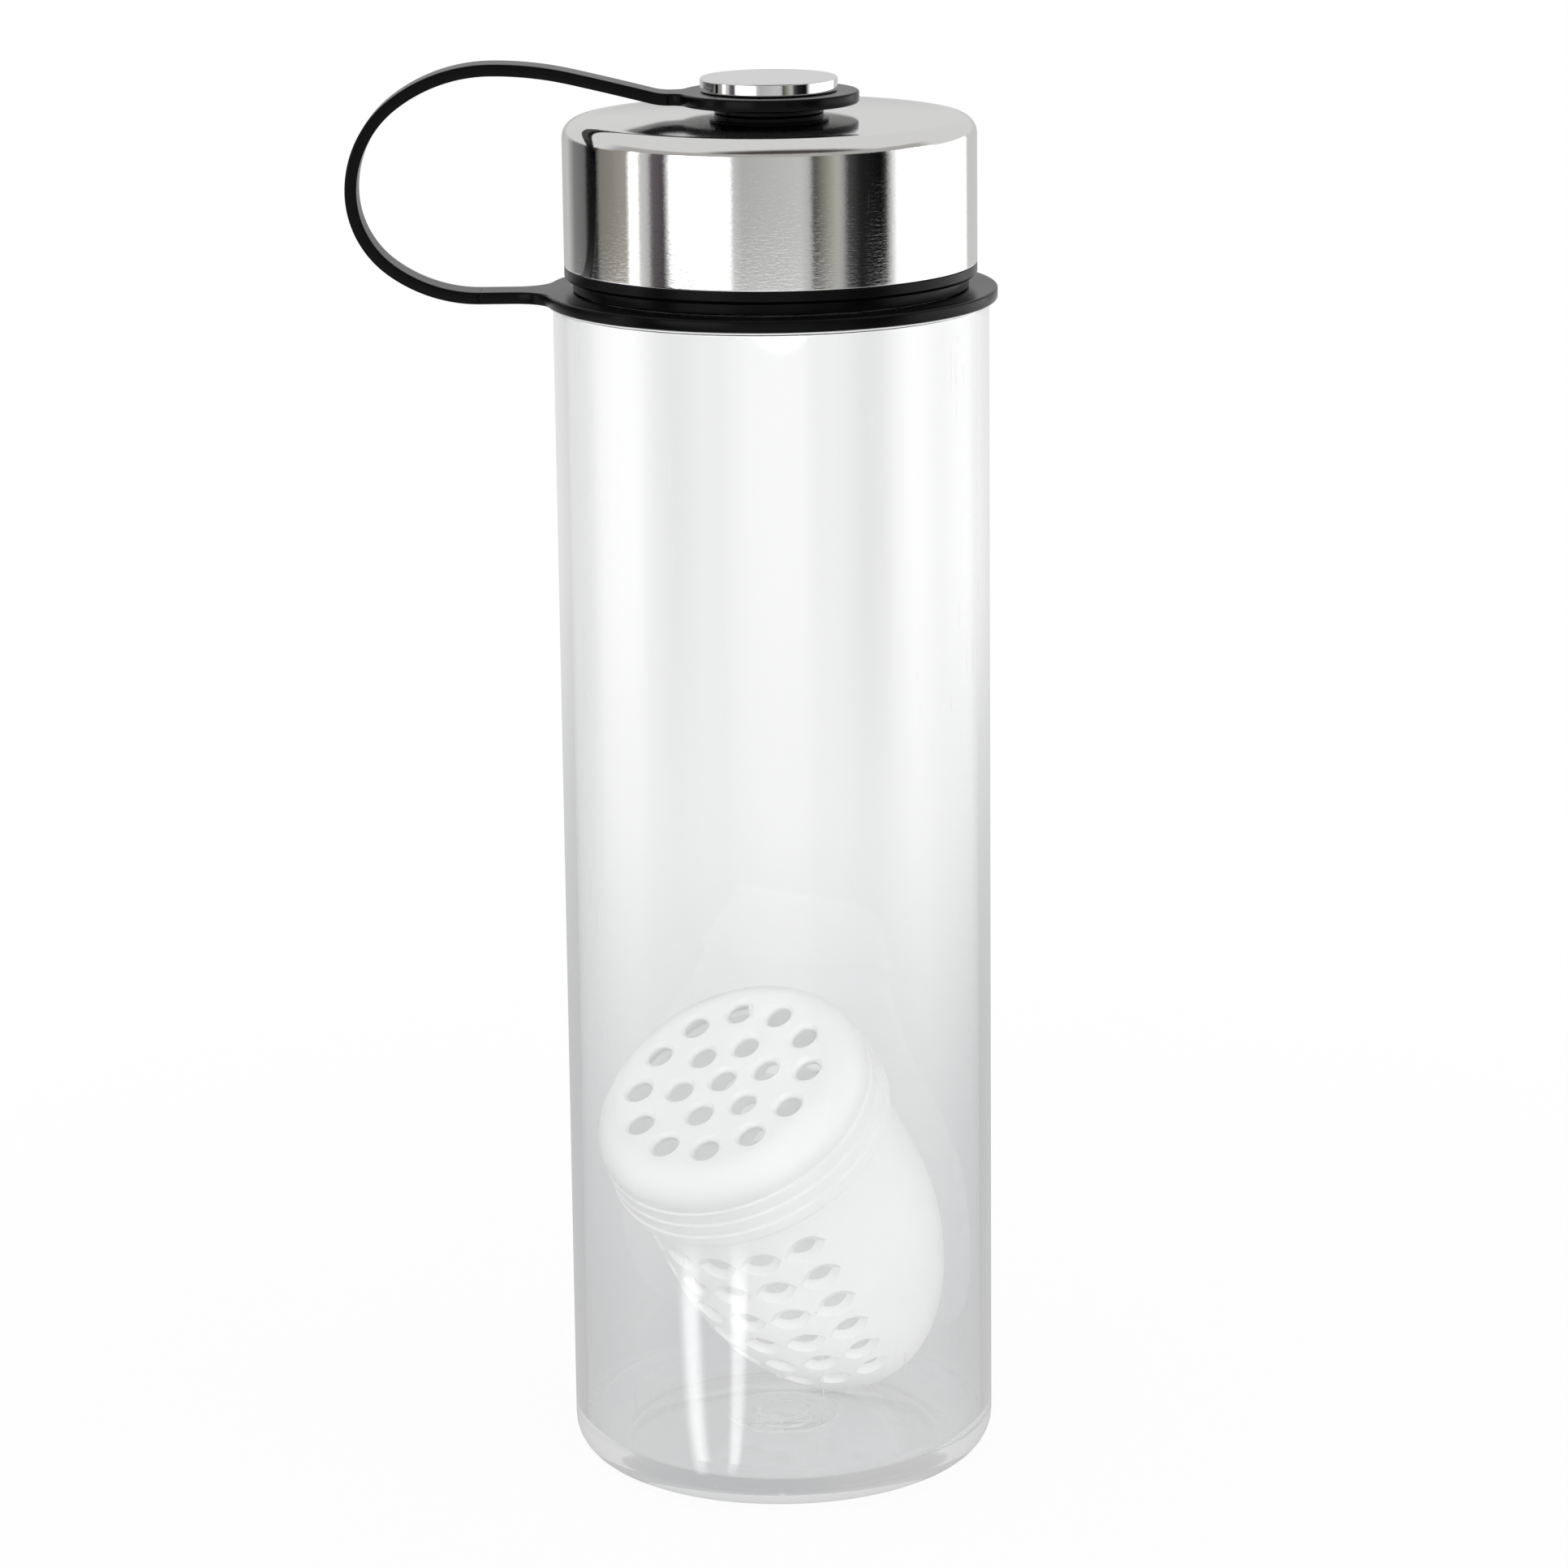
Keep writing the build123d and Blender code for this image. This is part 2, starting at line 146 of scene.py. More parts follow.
@dataclass
class Grid:
    """Points of a surface, row by column, and whether its last rows and columns join its first."""

    points: Array
    wrap_rows: bool = False
    wrap_columns: bool = True

    def quads(self, first: int = 0) -> Array:
        """Joins neighbouring points.

        Args:
            first: index of the grid's first point in the mesh.

        Returns:
            One row of four point indices for each face.
        """
        rows, columns = self.points.shape[:2]
        low_row, low_column = np.meshgrid(
            np.arange(rows if self.wrap_rows else rows - 1),
            np.arange(columns if self.wrap_columns else columns - 1),
            indexing="ij",
        )
        high_row, high_column = (low_row + 1) % rows, (low_column + 1) % columns
        corners = [
            low_row * columns + low_column,
            low_row * columns + high_column,
            high_row * columns + high_column,
            high_row * columns + low_column,
        ]
        return np.stack(corners, axis=-1).reshape(-1, 4) + first


def new_object(name: str, data: bpy.types.ID) -> Piece:
    """Puts a mesh, a lamp or a camera into the scene."""
    made = bpy.data.objects.new(name, data)
    bpy.context.scene.collection.objects.link(made)
    return made


def closed_mesh(name: str, grids: list[Grid],
                placed: Callable[[Array], Array] = np.asarray) -> Piece:
    """Smooth closed mesh from grids, with its doubles merged and its faces outwards.

    Args:
        name: the object's name.
        grids: the surfaces that it is made of, in millimetres.
        placed: puts points of another frame into the bottle's.

    Returns:
        The new object, at the origin, unturned and unscaled.
    """
    points = placed(np.concatenate([grid.points.reshape(-1, 3) for grid in grids]))
    firsts = np.cumsum([0] + [grid.points.size // 3 for grid in grids])
    quads = np.concatenate([grid.quads(first) for grid, first in zip(grids, firsts)])
    mesh = bpy.data.meshes.new(name)
    mesh.from_pydata((points * MM).tolist(), [], quads.tolist())
    merged = bmesh.new()
    merged.from_mesh(mesh)
    bmesh.ops.remove_doubles(merged, verts=merged.verts, dist=WELD)
    bmesh.ops.recalc_face_normals(merged, faces=merged.faces)
    merged.to_mesh(mesh)
    merged.free()
    mesh.polygons.foreach_set("use_smooth", np.ones(len(mesh.polygons), dtype=bool))
    return new_object(name, mesh)


def arc_at(before: Array, corner: Array, after: Array, radius: float, steps: int) -> Array:
    """Arc that rounds a corner.

    It starts its radius times the tangent of half the turn before the corner, and its arm from
    the centre turns by the corner's own turn.

    Args:
        before: the point before the corner.
        corner: the corner itself.
        after: the point after the corner.
        radius: radius of the rounding.
        steps: straight pieces that the arc is made of.

    Returns:
        The arc's points, one row each.
    """
    arriving, leaving = unit(corner - before), unit(after - corner)
    bend = arriving[0] * leaving[1] - arriving[1] * leaving[0]
    turn = math.atan2(bend, float(arriving @ leaving))
    start = corner - arriving * radius * math.tan(abs(turn) / 2)
    centre = start + math.copysign(radius, turn) * np.array([-arriving[1], arriving[0]])
    angles = np.linspace(0, turn, steps + 1)
    arm = start - centre
    across = arm[0] * np.cos(angles) - arm[1] * np.sin(angles)
    up = arm[0] * np.sin(angles) + arm[1] * np.cos(angles)
    return centre + np.stack([across, up], axis=-1)


@dataclass
class Outline:
    """Outline in (radius, height), drawn corner by corner, with each corner rounded by its arc.

    A place is (radius, height, rounding). Points of a curve have a rounding below zero.
    """

    closed: bool = True
    steps: int = 8
    support: float = 0.12
    longest: float = 8.0
    places: list[Place] = field(default_factory=list)

    def corners(self, *places: Place) -> None:
        """Adds corners; a rounding of zero keeps one sharp."""
        self.places += places

    def curve(self, radii: Array, heights: Array) -> None:
        """Adds points of a smooth curve, which take no rounding."""
        self.places += np.column_stack([radii, heights, np.full(len(radii), -1.0)]).tolist()

    def run(self, rows: Array, index: int) -> Array:
        """Rounds one of the places.

        Args:
            rows: all places, one row each.
            index: which of them.

        Returns:
            The points of its arc, or the bare point where it takes none.
        """
        rounding = rows[index, 2]
        inner = self.closed or 0 < index < len(rows) - 1
        if rounding <= 0 or not inner:
            return rows[index : index + 1, :2]
        before, after = rows[index - 1, :2], rows[(index + 1) % len(rows), :2]
        return arc_at(before, rows[index, :2], after, rounding, self.steps)

    def points(self) -> Array:
        """Works out the outline: arcs at the corners, a point close to each arc's ends, and
        straight runs divided so that no piece is longer than the longest.

        Returns:
            (radius, height) rows.
        """
        rows = np.array(self.places)
        cornered = rows[:, 2] >= 0
        runs = [self.run(rows, index) for index in range(len(rows))]
        pairs = len(rows) if self.closed else len(rows) - 1
        finished = []
        for index, run in enumerate(runs):
            finished.append(run)
            after = (index + 1) % len(rows)
            start, stop = run[-1], runs[after][0]
            gap = float(np.linalg.norm(stop - start))
            straight = index < pairs and (cornered[index] or cornered[after])
            if straight and gap > 3 * self.support:
                pieces = max(1, math.ceil((gap - 2 * self.support) / self.longest))
                stations = np.linspace(self.support, gap - self.support, pieces + 1) / gap
                finished.append(start + stations[:, None] * (stop - start))
        return np.concatenate(finished)


@dataclass
class Thread:
    """Screw ridge round Z: a helix with sloping flanks that fades in and out at its ends."""

    height: float = 1.0
    pitch: float = 4.0
    start: float = 210.4
    turns: float = 2.6
    half_width: float = 0.62
    flank: float = 0.5
    fade: float = 0.1

    def ridge(self, heights: Array, angles: Array) -> Array:
        """How far the ridge stands out, by height and angle.

        The ridge's middle climbs one pitch a turn; what counts is the distance to the nearest
        of its turns, and how many turns it has made there.

        Args:
            heights: heights in millimetres, one for each row.
            angles: angles in radians, one for each column.

        Returns:
            Millimetres above the plain wall, row by column.
        """
        climbed = (heights[:, None] - self.start) / self.pitch
        turned = angles[None, :] / FULL_TURN
        lap = np.round(climbed - turned)
        distance = np.abs(climbed - turned - lap) * self.pitch
        made = lap + turned
        ends = smooth_step(made, 0, self.fade) * smooth_step(self.turns - made, 0, self.fade)
        outside = smooth_step(distance, self.half_width, self.half_width + self.flank)
        return self.height * ends * (1 - outside)


def turned_grid(outline: Array, segments: int, growth: Array | float = 0.0,
                start: float = 0.0) -> Array:
    """Surface of revolution about Z.

    Args:
        outline: (radius, height) rows.
        segments: how many points go round.
        growth: what each point's radius grows by, one row for each row of the outline.
        start: angle of the first point in each row.

    Returns:
        The points, row by column.
    """
    radii = outline[:, :1] + np.zeros(segments) + growth
    return at_height(polar(radii, around(segments, start)), outline[:, 1:])


def turned_piece(name: str, shape: Outline, segments: int = 192, thread: Thread | None = None,
                 wall: float = 0.0) -> Piece:
    """Closed piece turned about Z from an outline, which may end on the axis.

    Args:
        name: the object's name.
        shape: its outline.
        segments: how many points go round.
        thread: a thread on its wall, which is a growth of the wall's rows.
        wall: radius of that wall.

    Returns:
        The new object.
    """
    rows = shape.points()
    growth = 0.0
    if thread:
        on_wall = np.abs(rows[:, :1] - wall) < SAME
        growth = thread.ridge(rows[:, 1], around(segments)) * on_wall
    return closed_mesh(name, [Grid(turned_grid(rows, segments, growth), wrap_rows=shape.closed)])


# Shared shader groups

@dataclass
class Tree:
    """A node tree with short ways to add nodes and join them."""

    nodes: bpy.types.Nodes
    links: bpy.types.NodeLinks

    @classmethod
    def fresh(cls, owner: bpy.types.Material | bpy.types.World) -> "Tree":
        """The emptied tree of a material or a world."""
        owner.use_nodes = True
        owner.node_tree.nodes.clear()
        return cls(owner.node_tree.nodes, owner.node_tree.links)

    def join(self, source: Socket, target: Socket) -> None:
        """Links two sockets."""
        self.links.new(source, target)

    def feed(self, target: Socket, value: object) -> None:
        """Links a socket to an input, or sets the input to a plain value or colour.

        Args:
            target: the input.
            value: the socket, number, vector or colour that it gets.
        """
        if isinstance(value, Socket):
            self.join(value, target)
        else:
            target.default_value = (*value, 1.0) if target.type == "RGBA" else value

    def add(self, kind: str, inputs: dict[str | int, object] | None = None,
            **settings: object) -> Node:
        """Adds a node.

        Args:
            kind: its type.
            inputs: sockets and plain values for its inputs, by name or index.
            **settings: its properties.

        Returns:
            The node.
        """
        node = self.nodes.new(kind)
        for key, value in settings.items():
            setattr(node, key, value)
        for key, value in (inputs or {}).items():
            self.feed(node.inputs[key], value)
        return node

    def math(self, operation: str, first: object, second: object = 0.0,
             third: object = 0.0) -> Socket:
        """Result of a Math node on sockets or numbers."""
        inputs = dict(enumerate((first, second, third)))
        return self.add("ShaderNodeMath", inputs, operation=operation).outputs[0]

    def noise(self, vector: Socket, scale: object = 1.0, detail: float = 2.0,
              roughness: float = 0.5) -> Socket:
        """Value of a noise texture."""
        inputs = {"Vector": vector, "Scale": scale, "Detail": detail, "Roughness": roughness}
        return self.add("ShaderNodeTexNoise", inputs).outputs["Fac"]

    def mapped(self, vector: Socket, scale: Place, rotation: Place = (0.0, 0.0, 0.0)) -> Socket:
        """Coordinates turned and stretched."""
        inputs = {"Vector": vector, "Scale": scale, "Rotation": rotation}
        return self.add("ShaderNodeMapping", inputs).outputs["Vector"]

    def split(self, vector: Socket) -> tuple[Socket, Socket, Socket]:
        """The X, Y and Z of a vector."""
        return tuple(self.add("ShaderNodeSeparateXYZ", {"Vector": vector}).outputs)

    def length(self, vector: Socket) -> Socket:
        """Length of a vector."""
        return self.add("ShaderNodeVectorMath", {0: vector}, operation="LENGTH").outputs["Value"]

    def radius(self, x: Socket, y: Socket) -> Socket:
        """Distance from Z."""
        squares = self.math("ADD", self.math("MULTIPLY", x, x), self.math("MULTIPLY", y, y))
        return self.math("SQRT", squares)

    def bearing(self, x: Socket, y: Socket) -> Socket:
        """Angle about Z from the camera's side, in radians."""
        return self.math("ARCTAN2", x, self.math("MULTIPLY", y, -1.0))

    def rise(self, value: Socket, span: Pair, start: float = 0.0) -> Socket:
        """Soft rise from a start to one over a span of values."""
        inputs = {"Value": value, "From Min": span[0], "From Max": span[1], "To Min": start}
        node = self.add("ShaderNodeMapRange", inputs, interpolation_type="SMOOTHSTEP")
        return node.outputs["Result"]

    def mixed(self, share: Socket, first: Socket | Colour, second: Socket | Colour) -> Socket:
        """Colour mixed from one socket or plain colour to another by a share."""
        node = self.add("ShaderNodeMix", {"Factor": share, 6: first, 7: second}, data_type="RGBA")
        return node.outputs[2]


@dataclass(frozen=True)
class SharedGroup:
    """A shader group that reads coordinates and numbers and puts out numbers or a colour."""

    inputs: ClassVar[dict[str, float]] = {}
    outputs: ClassVar[dict[str, str]] = {}

    def results(self, tree: Tree, given: Node) -> dict[str, Socket]:
        """What the group puts out, by the name of the output."""
        return {}

    def build(self, name: str) -> bpy.types.ShaderNodeTree:
        """Makes the group: first its sockets, then what lies between them.

        Args:
            name: the group's name.

        Returns:
            The group.
        """
        group = bpy.data.node_groups.new(name, "ShaderNodeTree")
        sockets = [("Vector", "INPUT", "NodeSocketVector")]
        sockets += [(key, "INPUT", "NodeSocketFloat") for key in self.inputs]
        sockets += [(key, "OUTPUT", kind) for key, kind in self.outputs.items()]
        for key, side, kind in sockets:
            socket = group.interface.new_socket(name=key, in_out=side, socket_type=kind)
            if side == "INPUT" and key in self.inputs:
                socket.default_value = self.inputs[key]
        tree = Tree(group.nodes, group.links)
        given, made = tree.add("NodeGroupInput"), tree.add("NodeGroupOutput")
        for key, result in self.results(tree, given).items():
            tree.join(result, made.inputs[key])
        return group


@dataclass(frozen=True)
class MouldedGrain(SharedGroup):
    """Grain of a moulded surface: fine pits over slow unevenness, and the gloss to match."""

    inputs = {"Grain Scale": 1800.0, "Gloss": 0.3, "Gloss Spread": 0.1}
    outputs = {"Height": "NodeSocketFloat", "Roughness": "NodeSocketFloat"}
    pit_detail: float = 3.0
    pit_roughness: float = 0.6
    slow_scale: float = 55.0
    slow_share: float = 0.6

    def results(self, tree: Tree, given: Node) -> dict[str, Socket]:
        """Works out the grain.

        Args:
            tree: the group's tree.
            given: its input node.

        Returns:
            Height, the pits with a share of the unevenness, and Roughness, the gloss that
            the unevenness swings about its middle.
        """
        vector, scale = given.outputs["Vector"], given.outputs["Grain Scale"]
        gloss, spread = given.outputs["Gloss"], given.outputs["Gloss Spread"]
        fine = tree.noise(vector, scale, self.pit_detail, self.pit_roughness)
        slow = tree.noise(vector, self.slow_scale)
        swing = tree.math("SUBTRACT", slow, 0.5)
        return {
            "Height": tree.math("MULTIPLY_ADD", slow, self.slow_share, fine),
            "Roughness": tree.math("MULTIPLY_ADD", swing, spread, gloss),
        }


@dataclass(frozen=True)
class FineScuffs(SharedGroup):
    """Hairline scuffs from handling: two stretched noises cut to thin lines, in slow patches."""

    inputs = {"Amount": 0.5}
    outputs = {"Mask": "NodeSocketFloat"}
    turns: tuple[Place, Place] = ((0.5, 0.2, 0.9), (1.1, 0.8, -0.4))
    stretches: tuple[Place, Place] = ((2600.0, 60.0, 60.0), (60.0, 2200.0, 80.0))
    line_limit: float = 0.71
    patch_scale: float = 40.0
    patch_limit: float = 0.56

    def results(self, tree: Tree, given: Node) -> dict[str, Socket]:
        """Works out the scuffs.

        Args:
            tree: the group's tree.
            given: its input node.

        Returns:
            Mask, which is the amount on a scuff and zero beside it.
        """
        vector, amount = given.outputs["Vector"], given.outputs["Amount"]
        lines = []
        for turn, stretch in zip(self.turns, self.stretches):
            noise = tree.noise(tree.mapped(vector, stretch, turn))
            lines.append(tree.math("GREATER_THAN", noise, self.line_limit))
        slow = tree.noise(vector, self.patch_scale)
        patches = tree.math("GREATER_THAN", slow, self.patch_limit)
        worn = tree.math("MULTIPLY", tree.math("MAXIMUM", *lines), patches)
        return {"Mask": tree.math("MULTIPLY", worn, amount)}


@dataclass(frozen=True)
class TurnedLines(SharedGroup):
    """Fine lines round Z that a polishing wheel leaves on a spinning piece."""

    inputs = {"Line Scale": 2500.0, "Around Scale": 1.0}
    outputs = {"Lines": "NodeSocketFloat", "Patches": "NodeSocketFloat"}
    line_detail: float = 3.0
    line_roughness: float = 0.65
    patch_scale: float = 90.0

    def results(self, tree: Tree, given: Node) -> dict[str, Socket]:
        """Reads noise at (direction times the scale around, radius plus height times the scale
        of the lines), so that it changes slowly round the piece and quickly across the lines.

        Args:
            tree: the group's tree.
            given: its input node.

        Returns:
            Lines, and Patches of slow noise for the gloss.
        """
        vector = given.outputs["Vector"]
        x, y, z = tree.split(vector)
        radius = tree.radius(x, y)
        stretch = tree.math("DIVIDE", given.outputs["Around Scale"], radius)
        across = tree.math("ADD", radius, z)
        wound = tree.add("ShaderNodeCombineXYZ", {
            "X": tree.math("MULTIPLY", x, stretch),
            "Y": tree.math("MULTIPLY", y, stretch),
            "Z": tree.math("MULTIPLY", across, given.outputs["Line Scale"]),
        }).outputs["Vector"]
        return {
            "Lines": tree.noise(wound, 1.0, self.line_detail, self.line_roughness),
            "Patches": tree.noise(vector, self.patch_scale),
        }


@dataclass(frozen=True)
class StudioBands(SharedGroup):
    """Soft boxes, flags and panels that stand round the bottle, as the floor and the room show
    them to reflections.

    Each stop is an angle in degrees from the camera, clockwise from above when negative, and
    the level or colour there; the colours between two stops are mixed.
    """

    outputs = {"Color": "NodeSocketColor"}
    stops: tuple[tuple[float, float | Colour], ...] = ()

    def results(self, tree: Tree, given: Node) -> dict[str, Socket]:
        """Sets the stops on a ramp that covers a full turn.

        Args:
            tree: the group's tree.
            given: its input node.

        Returns:
            Color, the bands' colour in the vector's direction.
        """
        x, y, _ = tree.split(given.outputs["Vector"])
        share = tree.math("MULTIPLY_ADD", tree.bearing(x, y), 1 / FULL_TURN, 0.5)
        ramp = tree.add("ShaderNodeValToRGB", {"Fac": share})
        elements = ramp.color_ramp.elements
        for element, (angle, colour) in zip(elements, (self.stops[0], self.stops[-1])):
            element.position, element.color = angle / 360 + 0.5, self.rgba(colour)
        for angle, colour in self.stops[1:-1]:
            elements.new(angle / 360 + 0.5).color = self.rgba(colour)
        return {"Color": ramp.outputs["Color"]}

    def rgba(self, colour: float | Colour) -> tuple[float, float, float, float]:
        """A level or colour with an alpha of one."""
        return (*colour, 1.0) if isinstance(colour, tuple) else (colour, colour, colour, 1.0)


class Effect(Enum):
    """Shader groups that materials share, each built once."""

    MOULDED_GRAIN = MouldedGrain()
    FINE_SCUFFS = FineScuffs()
    TURNED_LINES = TurnedLines()
    FAR_BANDS = StudioBands((
        (-150, 0.52), (-138, 0.21), (-124, 0.14), (-120, 0.01), (-111, 0.01),
        (-108, (0.20, 0.19, 0.17)), (-97, (0.25, 0.235, 0.205)), (-85, (0.34, 0.32, 0.28)),
        (-82.5, 1.7), (-78.5, 1.7), (-76, 0.6), (-70.5, 0.48), (-68, (0.13, 0.11, 0.12)),
        (-60, (0.075, 0.06, 0.07)), (-54.5, 1.7), (-23.5, 1.7), (-20, 0.55), (-15, 0.43),
        (17, 0.53), (21, 0.45), (24, 0.07), (29, (0.2, 0.2, 0.17)), (37, (0.43, 0.43, 0.38)),
        (40, 0.34), (43, 0.06), (50, 0.015), (63, 0.003), (66, 0.03), (69.5, 0.55), (78, 1.7),
        (136, 1.7), (141, 0.58),
    ))
    NEAR_BANDS = StudioBands((
        (-160, 0.80), (-135, 0.68), (-118, 0.36), (-110, 0.4), (-101, 0.75), (-90, 1.02),
        (-77, 1.02), (-71, 0.35), (-66, 0.04), (-53, 0.0), (-47, 0.38), (-37, 0.62),
        (-27, 0.46), (-21, 0.75), (-18, 0.88), (15, 0.88), (19, 0.60), (33, 0.54), (45, 0.22),
        (51, 0.02), (59, 0.24), (70, 0.72), (78, 1.35), (124, 1.4), (135, 1.0), (160, 0.85),
    ))
    FOOT_BANDS = StudioBands((
        (-150, 0.50), (-63, 0.48), (-58, 4.2), (-52, 4.2), (-47, 0.48), (-29, 0.5), (-26, 3.6),
        (-20.5, 3.6), (-16, 0.52), (90, 0.55), (150, 0.50),
    ))

    def place(self, tree: Tree, vector: Socket, **values: float) -> Node:
        """Puts the effect's group into a tree, and builds the group the first time.

        Args:
            tree: the tree that takes it.
            vector: the coordinates that it reads.
            **values: its other inputs, with underscores for spaces.

        Returns:
            The group's node.
        """
        title = self.name.lower()
        group = bpy.data.node_groups.get(title) or self.value.build(title)
        inputs = {key.replace("_", " "): value for key, value in values.items()}
        return tree.add("ShaderNodeGroup", {"Vector": vector, **inputs}, node_tree=group)


# The finishes

def through_to_lamps(tree: Tree, shader: Node, colour: Colour, also: str,
                     above: float = 0.5) -> Socket:
    """Lets some rays pass straight through a shader, dimmed by a colour.

    Args:
        tree: the material's tree.
        shader: the shader for all other rays.
        colour: what the rays that pass are dimmed by.
        also: the Light Path output that picks the rays besides shadow rays.
        above: the value that this output has to exceed.

    Returns:
        The mixed shader.
    """
    path = tree.add("ShaderNodeLightPath").outputs
    others = tree.math("GREATER_THAN", path[also], above)
    clear = tree.add("ShaderNodeBsdfTransparent", {"Color": colour})
    return tree.add("ShaderNodeMixShader", {
        "Fac": tree.math("MAXIMUM", path["Is Shadow Ray"], others),
        1: shader.outputs["BSDF"],
        2: clear.outputs["BSDF"],
    }).outputs["Shader"]


@dataclass(frozen=True)
class Finish:
    """What all finishes share: a name, a colour, and a Principled shader with constants."""

    name: str
    colour: Colour
    roughness: float = 0.3

    @property
    def title(self) -> str:
        """The material's own name, apart from that of the frame's plain material."""
        return f"{self.name}_finish"

    def constants(self) -> dict[str, object]:
        """Values that are the same all over the surface, by socket."""
        return {}

    def pattern(self, tree: Tree, shader: Node, place: Socket) -> None:
        """Joins what changes over the surface, from Object coordinates."""

    def output(self, tree: Tree, shader: Node) -> Socket:
        """The shader that goes to the material's output."""
        return shader.outputs["BSDF"]

    def bump(self, tree: Tree, shader: Node, height: Socket, depth: float,
             strength: float) -> None:
        """Turns a height into the shader's normal."""
        inputs = {"Distance": depth, "Strength": strength, "Height": height}
        tree.join(tree.add("ShaderNodeBump", inputs).outputs["Normal"], shader.inputs["Normal"])

    def build(self) -> bpy.types.Material:
        """Makes the material from the finish's constants, pattern and output.

        Returns:
            The finished material.
        """
        material = bpy.data.materials.new(self.title)
        tree = Tree.fresh(material)
        values = {"Base Color": self.colour, "Roughness": self.roughness, **self.constants()}
        shader = tree.add("ShaderNodeBsdfPrincipled", values)
        self.pattern(tree, shader, tree.add("ShaderNodeTexCoord").outputs["Object"])
        tree.add("ShaderNodeOutputMaterial", {"Surface": self.output(tree, shader)})
        return material


@dataclass(frozen=True)
class MouldedFinish(Finish):
    """Opaque moulded plastic or rubber with its grain."""

    grain_scale: float = 1800.0
    grain_depth: float = 0.00002
    grain_strength: float = 0.25
    gloss_spread: float = 0.12
    subsurface: float = 0.0
    subsurface_reach: float = 0.002
    specular: float = 0.5

    def constants(self) -> dict[str, object]:
        """Specular level and subsurface scatter, of which every colour reaches equally far.

        Returns:
            The values by socket.
        """
        return {
            "Specular IOR Level": self.specular,
            "Subsurface Weight": self.subsurface,
            "Subsurface Radius": (1.0, 1.0, 1.0),
            "Subsurface Scale": self.subsurface_reach,
        }

    def pattern(self, tree: Tree, shader: Node, place: Socket) -> None:
        """Joins the grain to the normal and the roughness.

        Args:
            tree: the material's tree.
            shader: its Principled shader.
            place: Object coordinates.
        """
        grain = Effect.MOULDED_GRAIN.place(tree, place, Grain_Scale=self.grain_scale,
                                           Gloss=self.roughness, Gloss_Spread=self.gloss_spread)
        tree.join(grain.outputs["Roughness"], shader.inputs["Roughness"])
        self.bump(tree, shader, grain.outputs["Height"], self.grain_depth, self.grain_strength)


@dataclass(frozen=True)
class FrostedFinish(MouldedFinish):
    """Thin frosted plastic that lets part of the light through to the inside."""

    lamp_colour: Colour = (0.84, 0.84, 0.84)

    def output(self, tree: Tree, shader: Node) -> Socket:
        """Shadow and diffuse rays pass in part."""
        return through_to_lamps(tree, shader, self.lamp_colour, "Is Diffuse Ray")


@dataclass(frozen=True)
class ClearFinish(Finish):
    """Clear blown plastic: refracts, lets the lamps through, is uneven up its height, and has
    streaks of painted shade up its side wall.
    """

    index: float = 1.54
    wave_stretch: Place = (75.0, 75.0, 7.0)
    wave_detail: float = 1.0
    wave_depth: float = 0.00012
    wave_strength: float = 0.35
    scuffs: float = 0.25
    # The streaks' colour is painted shade, darker than the plastic; runs counts the streaks round
    # a turn.
    streak_shade_colour: Colour = (0.962, 0.964, 0.966)
    runs: float = 8.0
    drift_stretch: Place = (40.0, 40.0, 5.0)
    drift: float = 5.0
    side_wall: Pair = (28.0, 34.0)
    lamp_colour: Colour = (0.985, 0.987, 0.988)
    most_mirrors: float = 2.5

    def constants(self) -> dict[str, object]:
        """Index of refraction and transmission."""
        return {"IOR": self.index, "Transmission Weight": 1.0}

    def pattern(self, tree: Tree, shader: Node, place: Socket) -> None:
        """Joins slow waves that run up the wall, streaks of painted shade in its colour, and
        scuffs.

        Args:
            tree: the material's tree.
            shader: its Principled shader.
            place: Object coordinates.
        """
        waves = tree.noise(tree.mapped(place, self.wave_stretch), detail=self.wave_detail)
        self.bump(tree, shader, waves, self.wave_depth, self.wave_strength)
        scuffs = Effect.FINE_SCUFFS.place(tree, place, Amount=self.scuffs)
        rough = tree.math("ADD", scuffs.outputs["Mask"], self.roughness)
        tree.join(rough, shader.inputs["Roughness"])
        # Painted shade: the base colour darkens along the streaks.
        streak_shaded_base = tree.mixed(self.thickness(tree, place), self.colour, self.streak_shade_colour)
        tree.join(streak_shaded_base, shader.inputs["Base Color"])

    def thickness(self, tree: Tree, place: Socket) -> Socket:
        """Streaks of painted shade: a cosine of the angle round Z that slow noise pushes about,
        only out at the side wall.

        Args:
            tree: the material's tree.
            place: Object coordinates.

        Returns:
            A share from no painted shade to the full shade of a streak.
        """
        x, y, _ = tree.split(place)
        slow = tree.noise(tree.mapped(place, self.drift_stretch))
        pushed = tree.math("SUBTRACT", tree.math("MULTIPLY", slow, self.drift), self.drift / 2)
        angle = tree.math("MULTIPLY_ADD", tree.bearing(x, y), self.runs, pushed)
        runs = tree.math("MULTIPLY_ADD", tree.math("COSINE", angle), -0.5, 0.5)
        wall = tree.rise(tree.radius(x, y), metres(self.side_wall))
        return tree.math("MULTIPLY", runs, wall)

    def output(self, tree: Tree, shader: Node) -> Socket:
        """Shadow rays pass straight through, a little dimmed, and so do rays that the wall has
        reflected inside itself a few times, which would otherwise end black."""
        return through_to_lamps(tree, shader, self.lamp_colour, "Glossy Depth", self.most_mirrors)


